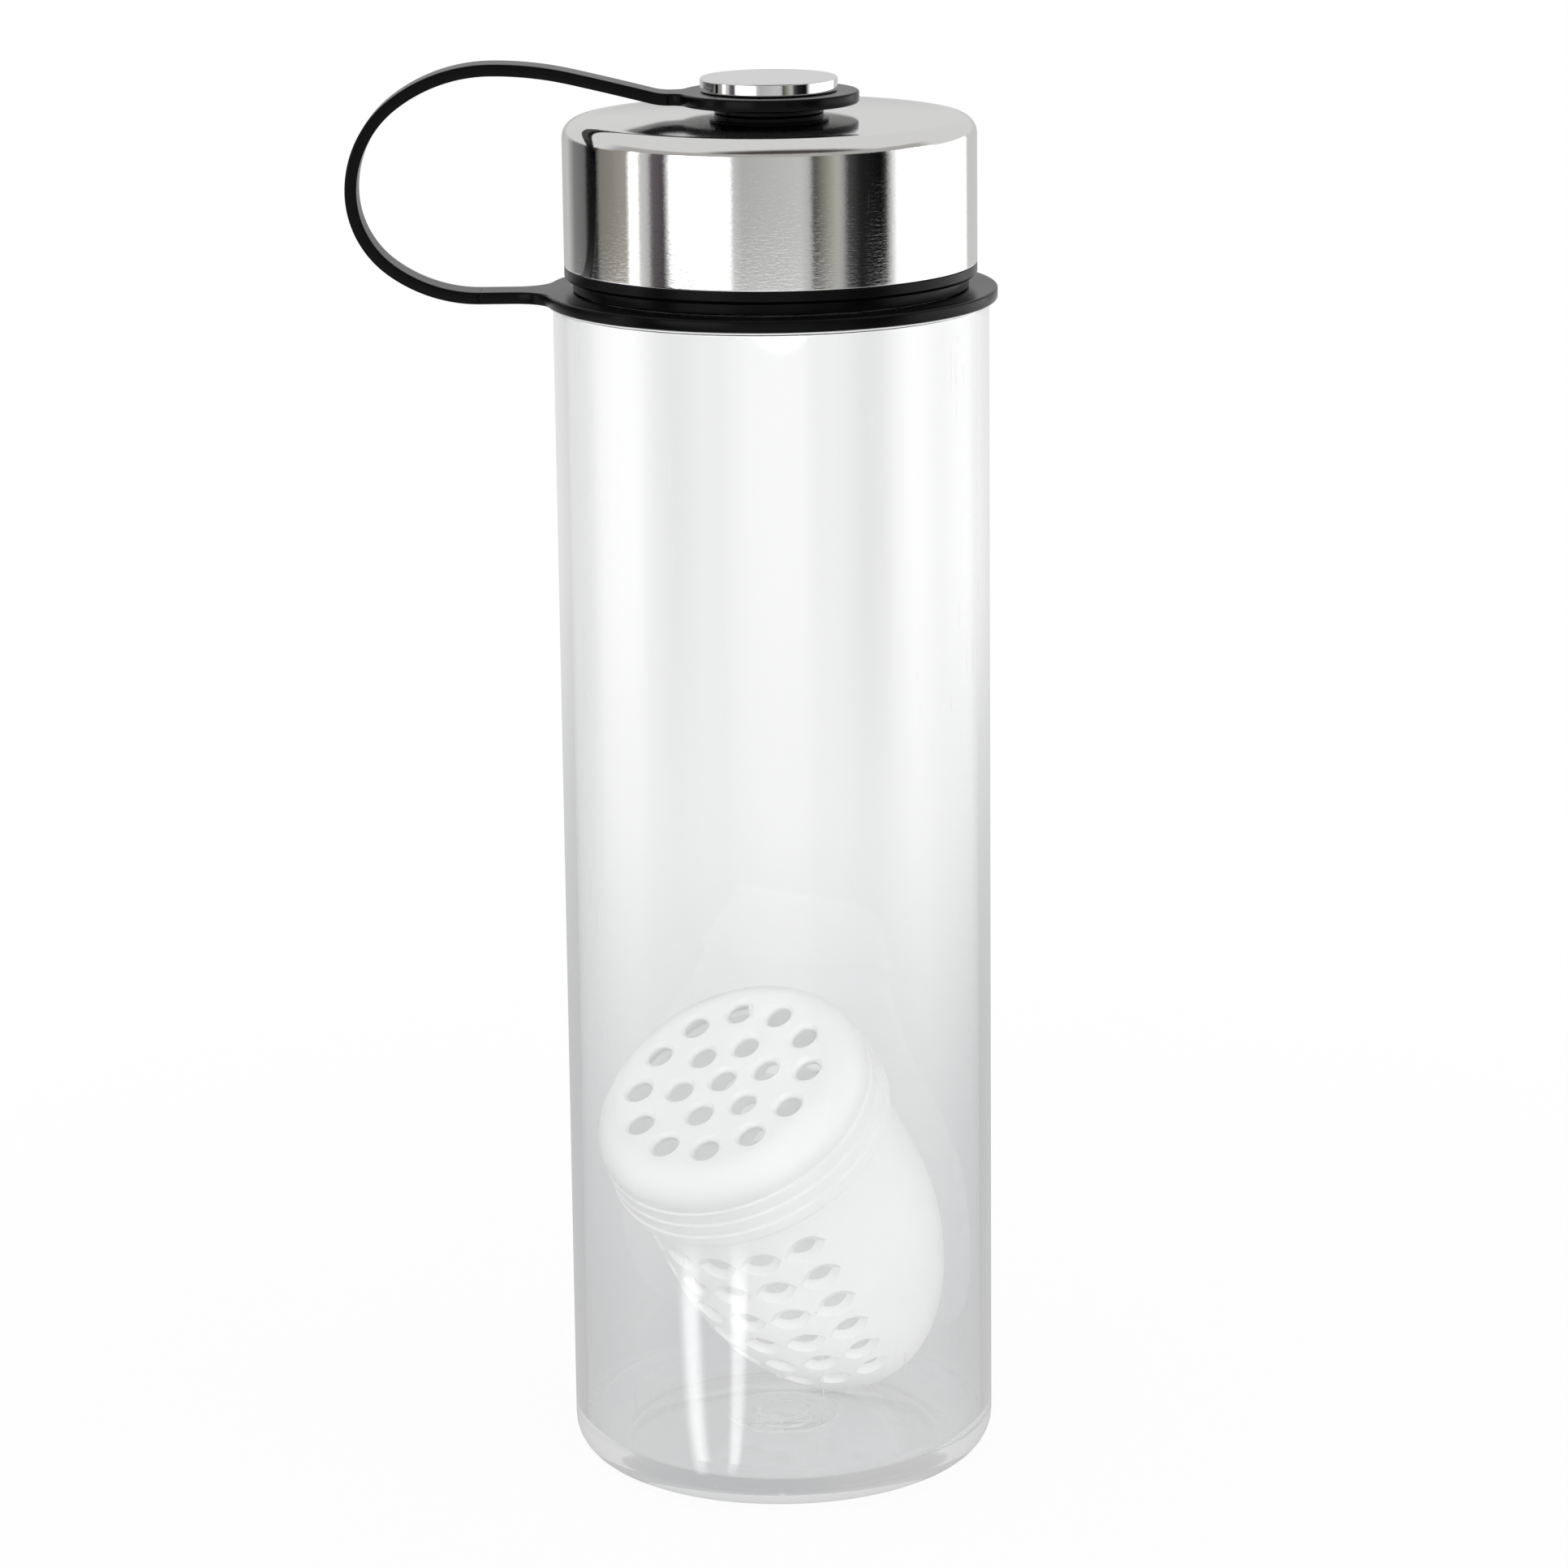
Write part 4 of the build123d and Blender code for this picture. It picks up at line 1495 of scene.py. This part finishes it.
@dataclass
class InfuserCup:
    """Cup of the capsule: half an ellipse below, a slight taper above, and dished almond holes.

    Its surface is a function of the angle round it and the height up it, and a depth below
    that surface. Each dished hole is a patch of rings in one cell of a grid of angles and
    heights: from the cell's edge to the dish's rim, down to the hole's edge, and back under.
    """

    frame: CapsuleFrame
    belly_radius: float = 24.0
    belly_height: float = 39.6
    mouth_radius: float = 23.25
    mouth_height: float = 61.0
    top: float = 68.5
    wall: float = 1.3
    rim_rounding: float = 0.4
    rim_steps: int = 4
    bowl_points: int = 26
    band_points: int = 14
    rows: int = 6
    columns: int = 5
    panels: int = 2
    lowest: float = 17.6
    row_pitch: float = 7.1
    column_angle: float = 20.0
    heading: float = -81.0
    web: float = 1.1
    rim_half_height: float = 2.6
    hole_draw: float = 1.35
    land: float = 0.35
    land_shares: Pair = (0.5, 0.9)
    rim_swell: float = 1.02
    rim_depth: float = 0.04
    brink_share: float = 0.06
    brink_depth: float = 0.13
    dish_shares: tuple[float, ...] = (0.18, 0.36, 0.56, 0.76, 0.94)
    hole_ease: float = 0.03
    under_ease: float = 0.08
    under_swell: float = 1.04
    side_samples: int = 10

    @property
    def step(self) -> float:
        """Angle of a column in radians."""
        return math.radians(self.column_angle)

    @property
    def lattice(self) -> float:
        """Angle between neighbouring points in radians."""
        return self.step / self.side_samples

    @property
    def half_panel(self) -> float:
        """Half the angle of a panel of holes in radians."""
        return self.columns * self.step / 2

    @property
    def panel_span(self) -> Pair:
        """Heights between which the panels lie."""
        high = self.lowest + (self.rows - 0.5) * self.row_pitch
        return self.lowest - self.row_pitch / 2, high

    def surface(self, angles: Array, heights: Array, depths: Array) -> Array:
        """Places at (angle, height, depth).

        Below the belly the wall's radius is the ellipse's, and its normal is the ellipse's
        gradient. Above it the radius falls evenly and the normal is level.

        Args:
            angles: angles round the cup in radians.
            heights: heights up it.
            depths: depths below its surface.

        Returns:
            The places, row by column.
        """
        fall = np.clip(heights / self.belly_height, 0, 1)
        ellipse = self.belly_radius * np.sqrt(np.maximum(fall * (2 - fall), 0))
        over = (heights - self.belly_height) / (self.mouth_height - self.belly_height)
        taper = np.clip(over, 0, 1) * (self.mouth_radius - self.belly_radius)
        below = heights < self.belly_height
        radius = np.where(below, ellipse, self.belly_radius + taper)
        out = radius / self.belly_radius**2
        down = np.minimum(heights - self.belly_height, 0) / self.belly_height**2
        length = np.sqrt(out**2 + down**2)
        drawn = polar(radius - depths * out / length, angles)
        return at_height(drawn, heights - depths * down / length)

    def sheet(self, heights: Array, depths: Array | float, angles: Array,
              wrap: bool = True) -> Grid:
        """Grid of the surface at heights, each with its depth, and at angles."""
        places = self.surface(angles, heights[:, None], np.reshape(depths, (-1, 1)))
        return Grid(places, wrap_columns=wrap)

    def cell_edge(self) -> tuple[Array, Array]:
        """Walks round a cell's edge.

        Returns:
            Its points, from -1 to 1 each way, and the angle of the almond's point for each.
        """
        count = 4 * self.side_samples
        angles = (np.arange(count) - self.side_samples / 2) * FULL_TURN / count
        half = FULL_TURN / 8
        side = np.floor((angles + half) / (2 * half)).astype(int) % 4
        along = (angles - side * 2 * half) / half
        ahead = np.ones(count)
        x = np.choose(side, [ahead, -along, -ahead, along])
        y = np.choose(side, [along, ahead, -along, -ahead])
        return np.stack([x, y], axis=-1), angles

    def dish(self, row_height: float) -> tuple[Array, Array]:
        """Makes one dished hole in its cell.

        The dish sinks as 1 - (1 - share)^2 of the way to the hole, so it is steep at its rim
        and level at the hole's edge.

        Args:
            row_height: height of the cell's middle.

        Returns:
            Rings of (angle, height) offsets, and their depths.
        """
        radius = float(self.surface(np.array(0.0), np.array(row_height), np.array(0.0))[0])
        steep = max(self.belly_height - row_height, 0) / self.belly_height**2
        tilt = math.cos(math.atan2(steep, radius / self.belly_radius**2))
        rim_length = self.step / 2 * radius - self.web / 2
        edge, angles = self.cell_edge()
        edge = edge * np.array([self.step / 2, self.row_pitch / 2])
        to_cell = np.array([1 / radius, tilt])

        def ring(share: float, swell: float = 1.0) -> Array:
            """Almond between the dish's rim, at 0, and the hole's edge, at 1."""
            length = rim_length - share * self.hole_draw
            height = self.rim_half_height - share * self.hole_draw
            return almond(angles, length * swell, height * swell) * to_cell

        rim, hole, under = ring(0.0), ring(1.0), ring(1.0, self.under_swell)
        sunk, wall = self.wall - self.land, self.wall
        halfway, close = self.land_shares
        rings = HoleRings(edge)
        rings.towards(rim, (0.0, halfway, close), 0.0)
        rings.add((ring(0.0, self.rim_swell), 0.0), (rim, self.rim_depth))
        rings.add((ring(self.brink_share), self.brink_depth))
        rings.add(*((ring(s), sunk * (1 - (1 - s) ** 2)) for s in self.dish_shares))
        rings.add((hole, sunk + self.hole_ease), (hole, wall - self.under_ease), (under, wall))
        rings.towards(under, (close,), wall)
        rings.towards(hole, (halfway, 0.0), wall)
        return rings.stacked()

    def holed_cells(self) -> list[Grid]:
        """Makes all dished holes, row by row, each row's patch turned to every column's angle.

        Returns:
            One grid for each hole.
        """
        middles = np.arange(self.columns) - (self.columns - 1) / 2
        starts = around(self.panels, math.radians(self.heading))
        turns = (starts[:, None] + middles * self.step).ravel()
        grids = []
        for row in range(self.rows):
            height = self.lowest + row * self.row_pitch
            offsets, depths = self.dish(height)
            across, up = offsets[..., 0], height + offsets[..., 1]
            grids += [Grid(self.surface(turn + across, up, depths)) for turn in turns]
        return grids

    def plain_cells(self) -> list[Grid]:
        """Makes the strips between the panels, on the same lattice of points.

        Returns:
            One grid outside and one inside for each strip.
        """
        strip = FULL_TURN / self.panels - 2 * self.half_panel
        heights = np.linspace(*self.panel_span, self.rows * self.side_samples + 1)
        along = np.arange(round(strip / self.lattice) + 1) * self.lattice
        grids = []
        for start in around(self.panels, math.radians(self.heading)):
            angles = start + self.half_panel + along
            grids.append(self.sheet(heights, 0.0, angles, wrap=False))
            grids.append(self.sheet(heights, self.wall, angles[::-1], wrap=False))
        return grids

    def rounds(self) -> list[Grid]:
        """Makes the rounded end below the panels, and the band above them with its rim.

        Returns:
            The rounded end's outside and inside, and the band.
        """
        low, high = self.panel_span
        start = math.radians(self.heading) + self.half_panel
        angles = start + np.arange(round(FULL_TURN / self.lattice)) * self.lattice
        swing = np.linspace(0, math.acos(1 - low / self.belly_height), self.bowl_points)
        bowl = self.belly_height * (1 - np.cos(swing))
        band = np.linspace(high, self.top - self.rim_rounding, self.band_points)
        turn = np.linspace(0, QUARTER_TURN, self.rim_steps + 1)[1:]
        rise = self.top - self.rim_rounding + self.rim_rounding * np.sin(turn)
        draw = self.rim_rounding * (1 - np.cos(turn))
        flat = np.zeros(len(band))
        heights = np.concatenate([band, rise, rise[::-1], band[::-1]])
        depths = np.concatenate([flat, draw, self.wall - draw[::-1], flat + self.wall])
        return [
            self.sheet(bowl, 0.0, angles),
            self.sheet(bowl[::-1], self.wall, angles),
            self.sheet(heights, depths, angles),
        ]

    def build(self) -> None:
        """Joins the cells, strips and rounds, and puts the cup in its place."""
        grids = self.holed_cells() + self.plain_cells() + self.rounds()
        piece = closed_mesh("frosted_cup", grids, self.frame.place)
        stand_for(piece, "infuser_cup", Slot.FROSTED_PLASTIC, "infuser_cup")


@dataclass
class InfuserLid:
    """Lid of the capsule: rounded cap with a stepped skirt and rings of countersunk holes."""

    frame: CapsuleFrame
    radius: float = 25.2
    corner: float = 6.0
    face: float = 1.5
    low: float = 61.0
    top: float = 75.4
    bore: float = 23.55
    hole: float = 2.2
    sink: float = 0.6
    ease: float = 0.03
    sink_step: float = 0.3
    sink_foot: float = 0.04
    under_ease: float = 0.1
    land_shares: Pair = (0.6, 0.92)
    ring_counts: tuple[int, ...] = (1, 6, 12)
    ring_pitch: float = 7.8
    start_angles: tuple[float, ...] = (0.0, -29.0, -8.0)
    cell_edges: tuple[float, ...] = (0.0, 3.9, 11.7, 18.6)
    bands: int = 3
    band_pitch: float = 2.6
    band_step: float = 0.35
    lattice: float = 2.0
    side_samples: int = 8

    @property
    def segments(self) -> int:
        """How many points go round the shell."""
        return round(360 / self.lattice)

    @property
    def first_angle(self) -> float:
        """Angle of the first of them in radians, half a step on from X."""
        return math.radians(self.lattice / 2)

    def hole_rings(self, edge: Array, centre: Array) -> tuple[Array, Array]:
        """Makes one countersunk hole in its cell.

        Args:
            edge: the cell's edge as (x, y) rows.
            centre: the hole's centre.

        Returns:
            Rings of (x, y) places with a point towards each point of the edge, and their
            depths.
        """
        arms = unit(edge - centre)
        wide, narrow = self.hole + self.sink, self.hole
        profile = (
            (wide + 2 * self.ease, 0.0),
            (wide - self.ease, 2 * self.ease),
            (wide - self.sink_step, self.sink_step + self.ease),
            (narrow + self.sink_foot, self.sink - self.ease),
            (narrow, self.sink + 2 * self.ease),
            (narrow, self.face - self.under_ease),
            (narrow + self.under_ease, self.face),
        )
        circles = [(centre + arms * radius, depth) for radius, depth in profile]
        halfway, close = self.land_shares
        rings = HoleRings(edge)
        rings.towards(circles[0][0], (0.0, halfway, close), 0.0)
        rings.add(*circles)
        rings.towards(circles[-1][0], (halfway, 0.0), self.face)
        return rings.stacked()

    def cell_edge(self, ring: int) -> tuple[Array, float]:
        """Walks round the edge of a ring's first cell: a circle round the middle hole, and
        otherwise along the outer arc, in, back along the inner arc, and out.

        Args:
            ring: which ring of holes.

        Returns:
            The edge as (x, y) rows, and the cell's middle angle.
        """
        inner, outer = self.cell_edges[ring], self.cell_edges[ring + 1]
        middle = math.radians(self.start_angles[ring])
        if ring == 0:
            return polar(outer, around(self.segments, self.first_angle)), middle
        half = math.pi / self.ring_counts[ring]
        count = round(2 * half / math.radians(self.lattice))
        sweep = middle + np.linspace(-half, half, count + 1)
        radii = np.linspace(inner, outer, self.side_samples + 1)
        side = np.ones(self.side_samples)
        angles = [sweep[:-1], side * sweep[-1], sweep[:0:-1], side * sweep[0]]
        reach = [np.full(count, outer), radii[:0:-1], np.full(count, inner), radii[:-1]]
        return polar(np.concatenate(reach), np.concatenate(angles)), middle

    def face_cells(self) -> list[Grid]:
        """Makes the perforated face: each ring's cell repeated round the axis.

        Returns:
            One grid for each hole.
        """
        grids = []
        for ring, count in enumerate(self.ring_counts):
            edge, middle = self.cell_edge(ring)
            places, depths = self.hole_rings(edge, polar(ring * self.ring_pitch, middle))
            for turn in around(count):
                ahead, aside = math.cos(turn), math.sin(turn)
                turned = places @ np.array([[ahead, aside], [-aside, ahead]])
                grids.append(Grid(at_height(turned, self.top - depths)))
        return grids

    def shell(self) -> Grid:
        """Turns the rounded shoulder, the stepped skirt and the inside about the axis.

        Returns:
            The shell's grid.
        """
        edge = self.cell_edges[-1]
        ceiling = self.top - self.face
        drawn = 2 * self.band_step
        shape = Outline(closed=False, steps=10, longest=2.0)
        shape.corners((edge, self.top, 0), (self.radius - drawn, self.top, self.corner - drawn))
        for band in range(self.bands, 0, -1):
            height = self.low + band * self.band_pitch
            radius = self.radius - (band - 1) * self.band_step
            shape.corners((radius - self.band_step, height, CRISP),
                          (radius, height - self.band_step, CRISP))
        shape.corners(
            (self.radius, self.low, BLUNT), (self.bore, self.low, BLUNT),
            (self.bore, ceiling, self.bore - edge - BLUNT), (edge, ceiling, 0),
        )
        return Grid(turned_grid(shape.points(), self.segments, start=self.first_angle))

    def build(self) -> None:
        """Joins the face and the shell, and puts the lid in its place."""
        piece = closed_mesh("frosted_lid", [*self.face_cells(), self.shell()], self.frame.place)
        stand_for(piece, "infuser_lid", Slot.FROSTED_PLASTIC, "infuser_lid")


# The studio

@dataclass(frozen=True)
class Rays:
    """Kinds of ray as sockets that are one for their kind and zero for the others."""

    camera: Socket
    diffuse: Socket
    through: Socket
    mirrored: Socket
    scattered: Socket
    many_mirrors: Socket

    @classmethod
    def of(cls, tree: Tree) -> "Rays":
        """Tells a ray that only passes through clear pieces from one that they reflect.

        Args:
            tree: the tree of the material or the world.

        Returns:
            The kinds of ray in that tree.
        """
        path = tree.add("ShaderNodeLightPath").outputs
        plain = tree.math("LESS_THAN", path["Glossy Depth"], 0.5)
        through = tree.math("MULTIPLY", path["Is Transmission Ray"], plain)
        return cls(
            camera=path["Is Camera Ray"],
            diffuse=path["Is Diffuse Ray"],
            through=through,
            mirrored=tree.math("SUBTRACT", path["Is Glossy Ray"], through),
            scattered=tree.math("GREATER_THAN", path["Diffuse Depth"], 0.5),
            many_mirrors=tree.math("GREATER_THAN", path["Glossy Depth"], 1.5),
        )


@dataclass(frozen=True)
class SoftBox:
    """Rectangular lamp that the camera and reflections don't see, in millimetres and watts."""

    name: str
    place: Place
    width: float
    height: float
    power: float
    aim: Place = (0.0, 0.0, 120.0)

    def build(self) -> None:
        """Puts the lamp in its place, turned to what it aims at."""
        data = bpy.data.lights.new(self.name, "AREA")
        data.shape = "RECTANGLE"
        data.size, data.size_y, data.energy = self.width * MM, self.height * MM, self.power
        lamp = new_object(self.name, data)
        lamp.location = Vector(self.place) * MM
        away = (Vector(self.place) - Vector(self.aim)).to_track_quat("Z", "Y")
        lamp.rotation_euler = away.to_euler()
        lamp.visible_camera = lamp.visible_glossy = False


@dataclass
class Studio:
    """Plain white room: floor, world, lamps, and the camera at the photo's place.

    The boxes are a large key from the front left above, a weaker fill from the right, and a
    low one in front for what faces down. Distances on the floor, such as the reaches, are in
    millimetres. The spans and heights of the room are parts of a direction of length one.
    """

    focal_pixels: float = 6513.06
    picture_pixels: float = 1932.0
    sensor: float = 36.0
    clip: Pair = (0.05, 100.0)
    camera_place: Place = (0.0, -878.26, 335.06)
    yaw: float = 0.0014
    pitch: float = 0.2414
    roll: float = 0.0113
    boxes: tuple[SoftBox, ...] = (
        SoftBox("key_box", (-900, -700, 1100), 900, 900, 3.0),
        SoftBox("fill_box", (1000, -500, 700), 700, 900, 2.4),
        SoftBox("low_box", (100, -1250, 170), 1100, 500, 3.0),
    )
    floor_rings: tuple[float, ...] = (0.0, 100.0, 300.0, 900.0, 2500.0, 6000.0)
    floor_segments: int = 96
    paint: Colour = (0.9, 0.9, 0.9)
    white_reach: Pair = (60.0, 420.0)
    near_white: float = 0.88
    # Painted shade: the grey that rays through the clear wall see on the floor near the bottle,
    # over the grey reach.
    grey_reach: Pair = (0.0, 480.0)
    near_shade_grey: Colour = (0.66, 0.665, 0.67)
    foot_from: Pair = (14.0, 24.0)
    foot_reach: Pair = (100.0, 150.0)
    foot_origin: Place = (-10.7, -34.6, 0.0)
    near_reach: Pair = (190.0, 860.0)
    far_reach: Pair = (1300.0, 1375.0)
    mirrored_grey: Colour = (0.50, 0.505, 0.51)
    white: Colour = (1.0, 1.0, 1.0)
    soft_light: Colour = (0.88, 0.88, 0.88)
    scattered_light: Colour = (1.0, 1.0, 1.0)
    inside_light: Colour = (0.72, 0.72, 0.72)
    overhead: Colour = (0.66, 0.66, 0.66)
    horizon: Colour = (0.40, 0.39, 0.38)
    dark_front: Colour = (0.07, 0.062, 0.058)
    dark_towards: Place = (0.17, -0.98, 0.0)
    dark_span: Pair = (0.45, 0.72)
    behind_span: Pair = (0.0, 0.3)
    behind_height: Pair = (0.02, 0.12)
    horizon_height: Pair = (0.13, 0.21)
    overhead_height: Pair = (0.41, 0.54)

    def camera(self) -> None:
        """Sets up the camera from its place and its yaw, pitch and roll in radians."""
        cos_yaw, sin_yaw, flat = math.cos(self.yaw), math.sin(self.yaw), math.cos(self.pitch)
        ahead = Vector((sin_yaw * flat, cos_yaw * flat, -math.sin(self.pitch)))
        level = Vector((cos_yaw, -sin_yaw, 0))
        down = ahead.cross(level)
        right = math.cos(self.roll) * level + math.sin(self.roll) * down
        below = math.cos(self.roll) * down - math.sin(self.roll) * level
        data = bpy.data.cameras.new("photo_camera")
        data.lens = self.focal_pixels / self.picture_pixels * self.sensor
        data.sensor_width = self.sensor
        data.clip_start, data.clip_end = self.clip
        camera = new_object("photo_camera", data)
        turn = Matrix((right, -below, -ahead)).transposed().to_4x4()
        camera.matrix_world = Matrix.Translation(Vector(self.camera_place) * MM) @ turn
        bpy.context.scene.camera = camera

    def world(self) -> None:
        """White for the camera and through the clear wall, the bands for reflections, with a
        dark place above the camera, and a plain soft level for all other light."""
        world = bpy.data.worlds.new("white_room")
        tree = Tree.fresh(world)
        rays = Rays.of(tree)
        direction = tree.add("ShaderNodeTexCoord").outputs["Generated"]
        bands = Effect.FAR_BANDS.place(tree, direction).outputs["Color"]
        _, across, height = tree.split(direction)
        low = tree.mixed(tree.rise(height, self.horizon_height), bands, self.horizon)
        behind = tree.math("MULTIPLY", tree.rise(across, self.behind_span),
                           tree.rise(height, self.behind_height))
        back = tree.mixed(behind, low, self.overhead)
        front = tree.add("ShaderNodeVectorMath", {0: direction, 1: self.dark_towards},
                         operation="DOT_PRODUCT").outputs["Value"]
        above = tree.mixed(tree.rise(front, self.dark_span), self.overhead, self.dark_front)
        room = tree.mixed(tree.rise(height, self.overhead_height), back, above)
        seen = tree.mixed(rays.many_mirrors, room, self.inside_light)
        lit = tree.mixed(rays.scattered, seen, self.scattered_light)
        plain = tree.mixed(rays.diffuse, lit, self.soft_light)
        colour = tree.mixed(tree.math("MAXIMUM", rays.camera, rays.through), plain, self.white)
        background = tree.add("ShaderNodeBackground", {"Color": colour}).outputs["Background"]
        tree.add("ShaderNodeOutputWorld", {"Surface": background})
        bpy.context.scene.world = world

    def mirrored_floor(self, tree: Tree, place: Socket, distance: Socket) -> Socket:
        """Shows the bands to reflections, as the things that stand on the floor would.

        The clear wall reflects the floor out to 1.3 m, and the cap what is beyond that. The
        foot's own bands turn about a place under its front.

        Args:
            tree: the floor's tree.
            place: Object coordinates.
            distance: distance from the bottle's axis.

        Returns:
            The floor's colour in a reflection.
        """
        origin = tuple(Vector(self.foot_origin) * MM)
        from_foot = tree.add("ShaderNodeVectorMath", {0: place, 1: origin},
                             operation="SUBTRACT").outputs["Vector"]
        away = tree.length(from_foot)
        starts = tree.rise(away, metres(self.foot_from))
        ends = tree.rise(away, metres(self.foot_reach))
        shows_foot = tree.math("MULTIPLY", starts, tree.math("SUBTRACT", 1.0, ends))
        foot = Effect.FOOT_BANDS.place(tree, from_foot).outputs["Color"]
        colour = tree.mixed(shows_foot, self.mirrored_grey, foot)
        reaches = {Effect.NEAR_BANDS: self.near_reach, Effect.FAR_BANDS: self.far_reach}
        for effect, span in reaches.items():
            bands = effect.place(tree, place).outputs["Color"]
            colour = tree.mixed(tree.rise(distance, metres(span)), colour, bands)
        return colour

    def floor(self) -> None:
        """Round pale floor: keeps the bottle's shadow close by, is plain white further out, glows
        with a painted grey shade near the bottle for rays through the clear wall, and shows the
        bands to reflections."""
        rings = np.array(self.floor_rings)
        outline = np.stack([rings, np.zeros(len(rings))], axis=-1)
        grid = Grid(turned_grid(outline, self.floor_segments))
        mesh = bpy.data.meshes.new("floor")
        points = grid.points.reshape(-1, 3) * MM
        mesh.from_pydata(points.tolist(), [], grid.quads()[:, ::-1].tolist())
        floor = new_object("floor", mesh)
        material = bpy.data.materials.new("floor_white")
        tree = Tree.fresh(material)
        rays = Rays.of(tree)
        place = tree.add("ShaderNodeTexCoord").outputs["Object"]
        distance = tree.length(place)
        far = tree.rise(distance, metres(self.white_reach), self.near_white)
        # Painted shade: for rays through the clear wall the floor glows grey near the bottle and
        # white beyond, so the bottle is darker towards its base.
        deep = tree.rise(distance, metres(self.grey_reach))
        background = tree.mixed(deep, self.near_shade_grey, self.white)
        behind = tree.mixed(rays.camera, background, self.white)
        mirrored = self.mirrored_floor(tree, place, distance)
        shown = tree.mixed(rays.many_mirrors, mirrored, self.inside_light)
        seen = tree.mixed(rays.mirrored, behind, shown)
        colour = tree.mixed(rays.scattered, seen, self.scattered_light)
        glow = tree.add("ShaderNodeEmission", {"Color": colour}).outputs["Emission"]
        paint = tree.add("ShaderNodeBsdfDiffuse", {"Color": self.paint}).outputs["BSDF"]
        unlit = tree.math("MAXIMUM", rays.through, rays.mirrored)
        share = tree.math("MAXIMUM", tree.math("MULTIPLY", rays.camera, far), unlit)
        mix = tree.add("ShaderNodeMixShader", {"Fac": share, 1: paint, 2: glow})
        tree.add("ShaderNodeOutputMaterial", {"Surface": mix.outputs["Shader"]})
        mesh.materials.append(material)

    def build(self) -> None:
        """Sets up the view, the camera, the floor, the world and the lamps."""
        bpy.context.scene.view_settings.view_transform = "Standard"
        self.camera()
        self.floor()
        self.world()
        for box in self.boxes:
            box.build()


def main() -> None:
    """Builds the studio and the bottle's sub-assemblies, and logs how far each new piece's box
    lies from its node's.
    """
    logging.basicConfig(level=logging.INFO, format="%(name)s: %(message)s")
    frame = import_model()
    lid_joint = next(joint for joint in frame["joints"] if joint["name"] == "infuser_lid_turn")
    capsule = CapsuleFrame(lid_joint)
    Studio().build()
    for assembly in (Bottle(), Tether(), ScrewCap(), InfuserCup(capsule), InfuserLid(capsule)):
        assembly.build()
        log.info("%s is built", type(assembly).__name__)


if __name__ == "__main__":
    main()
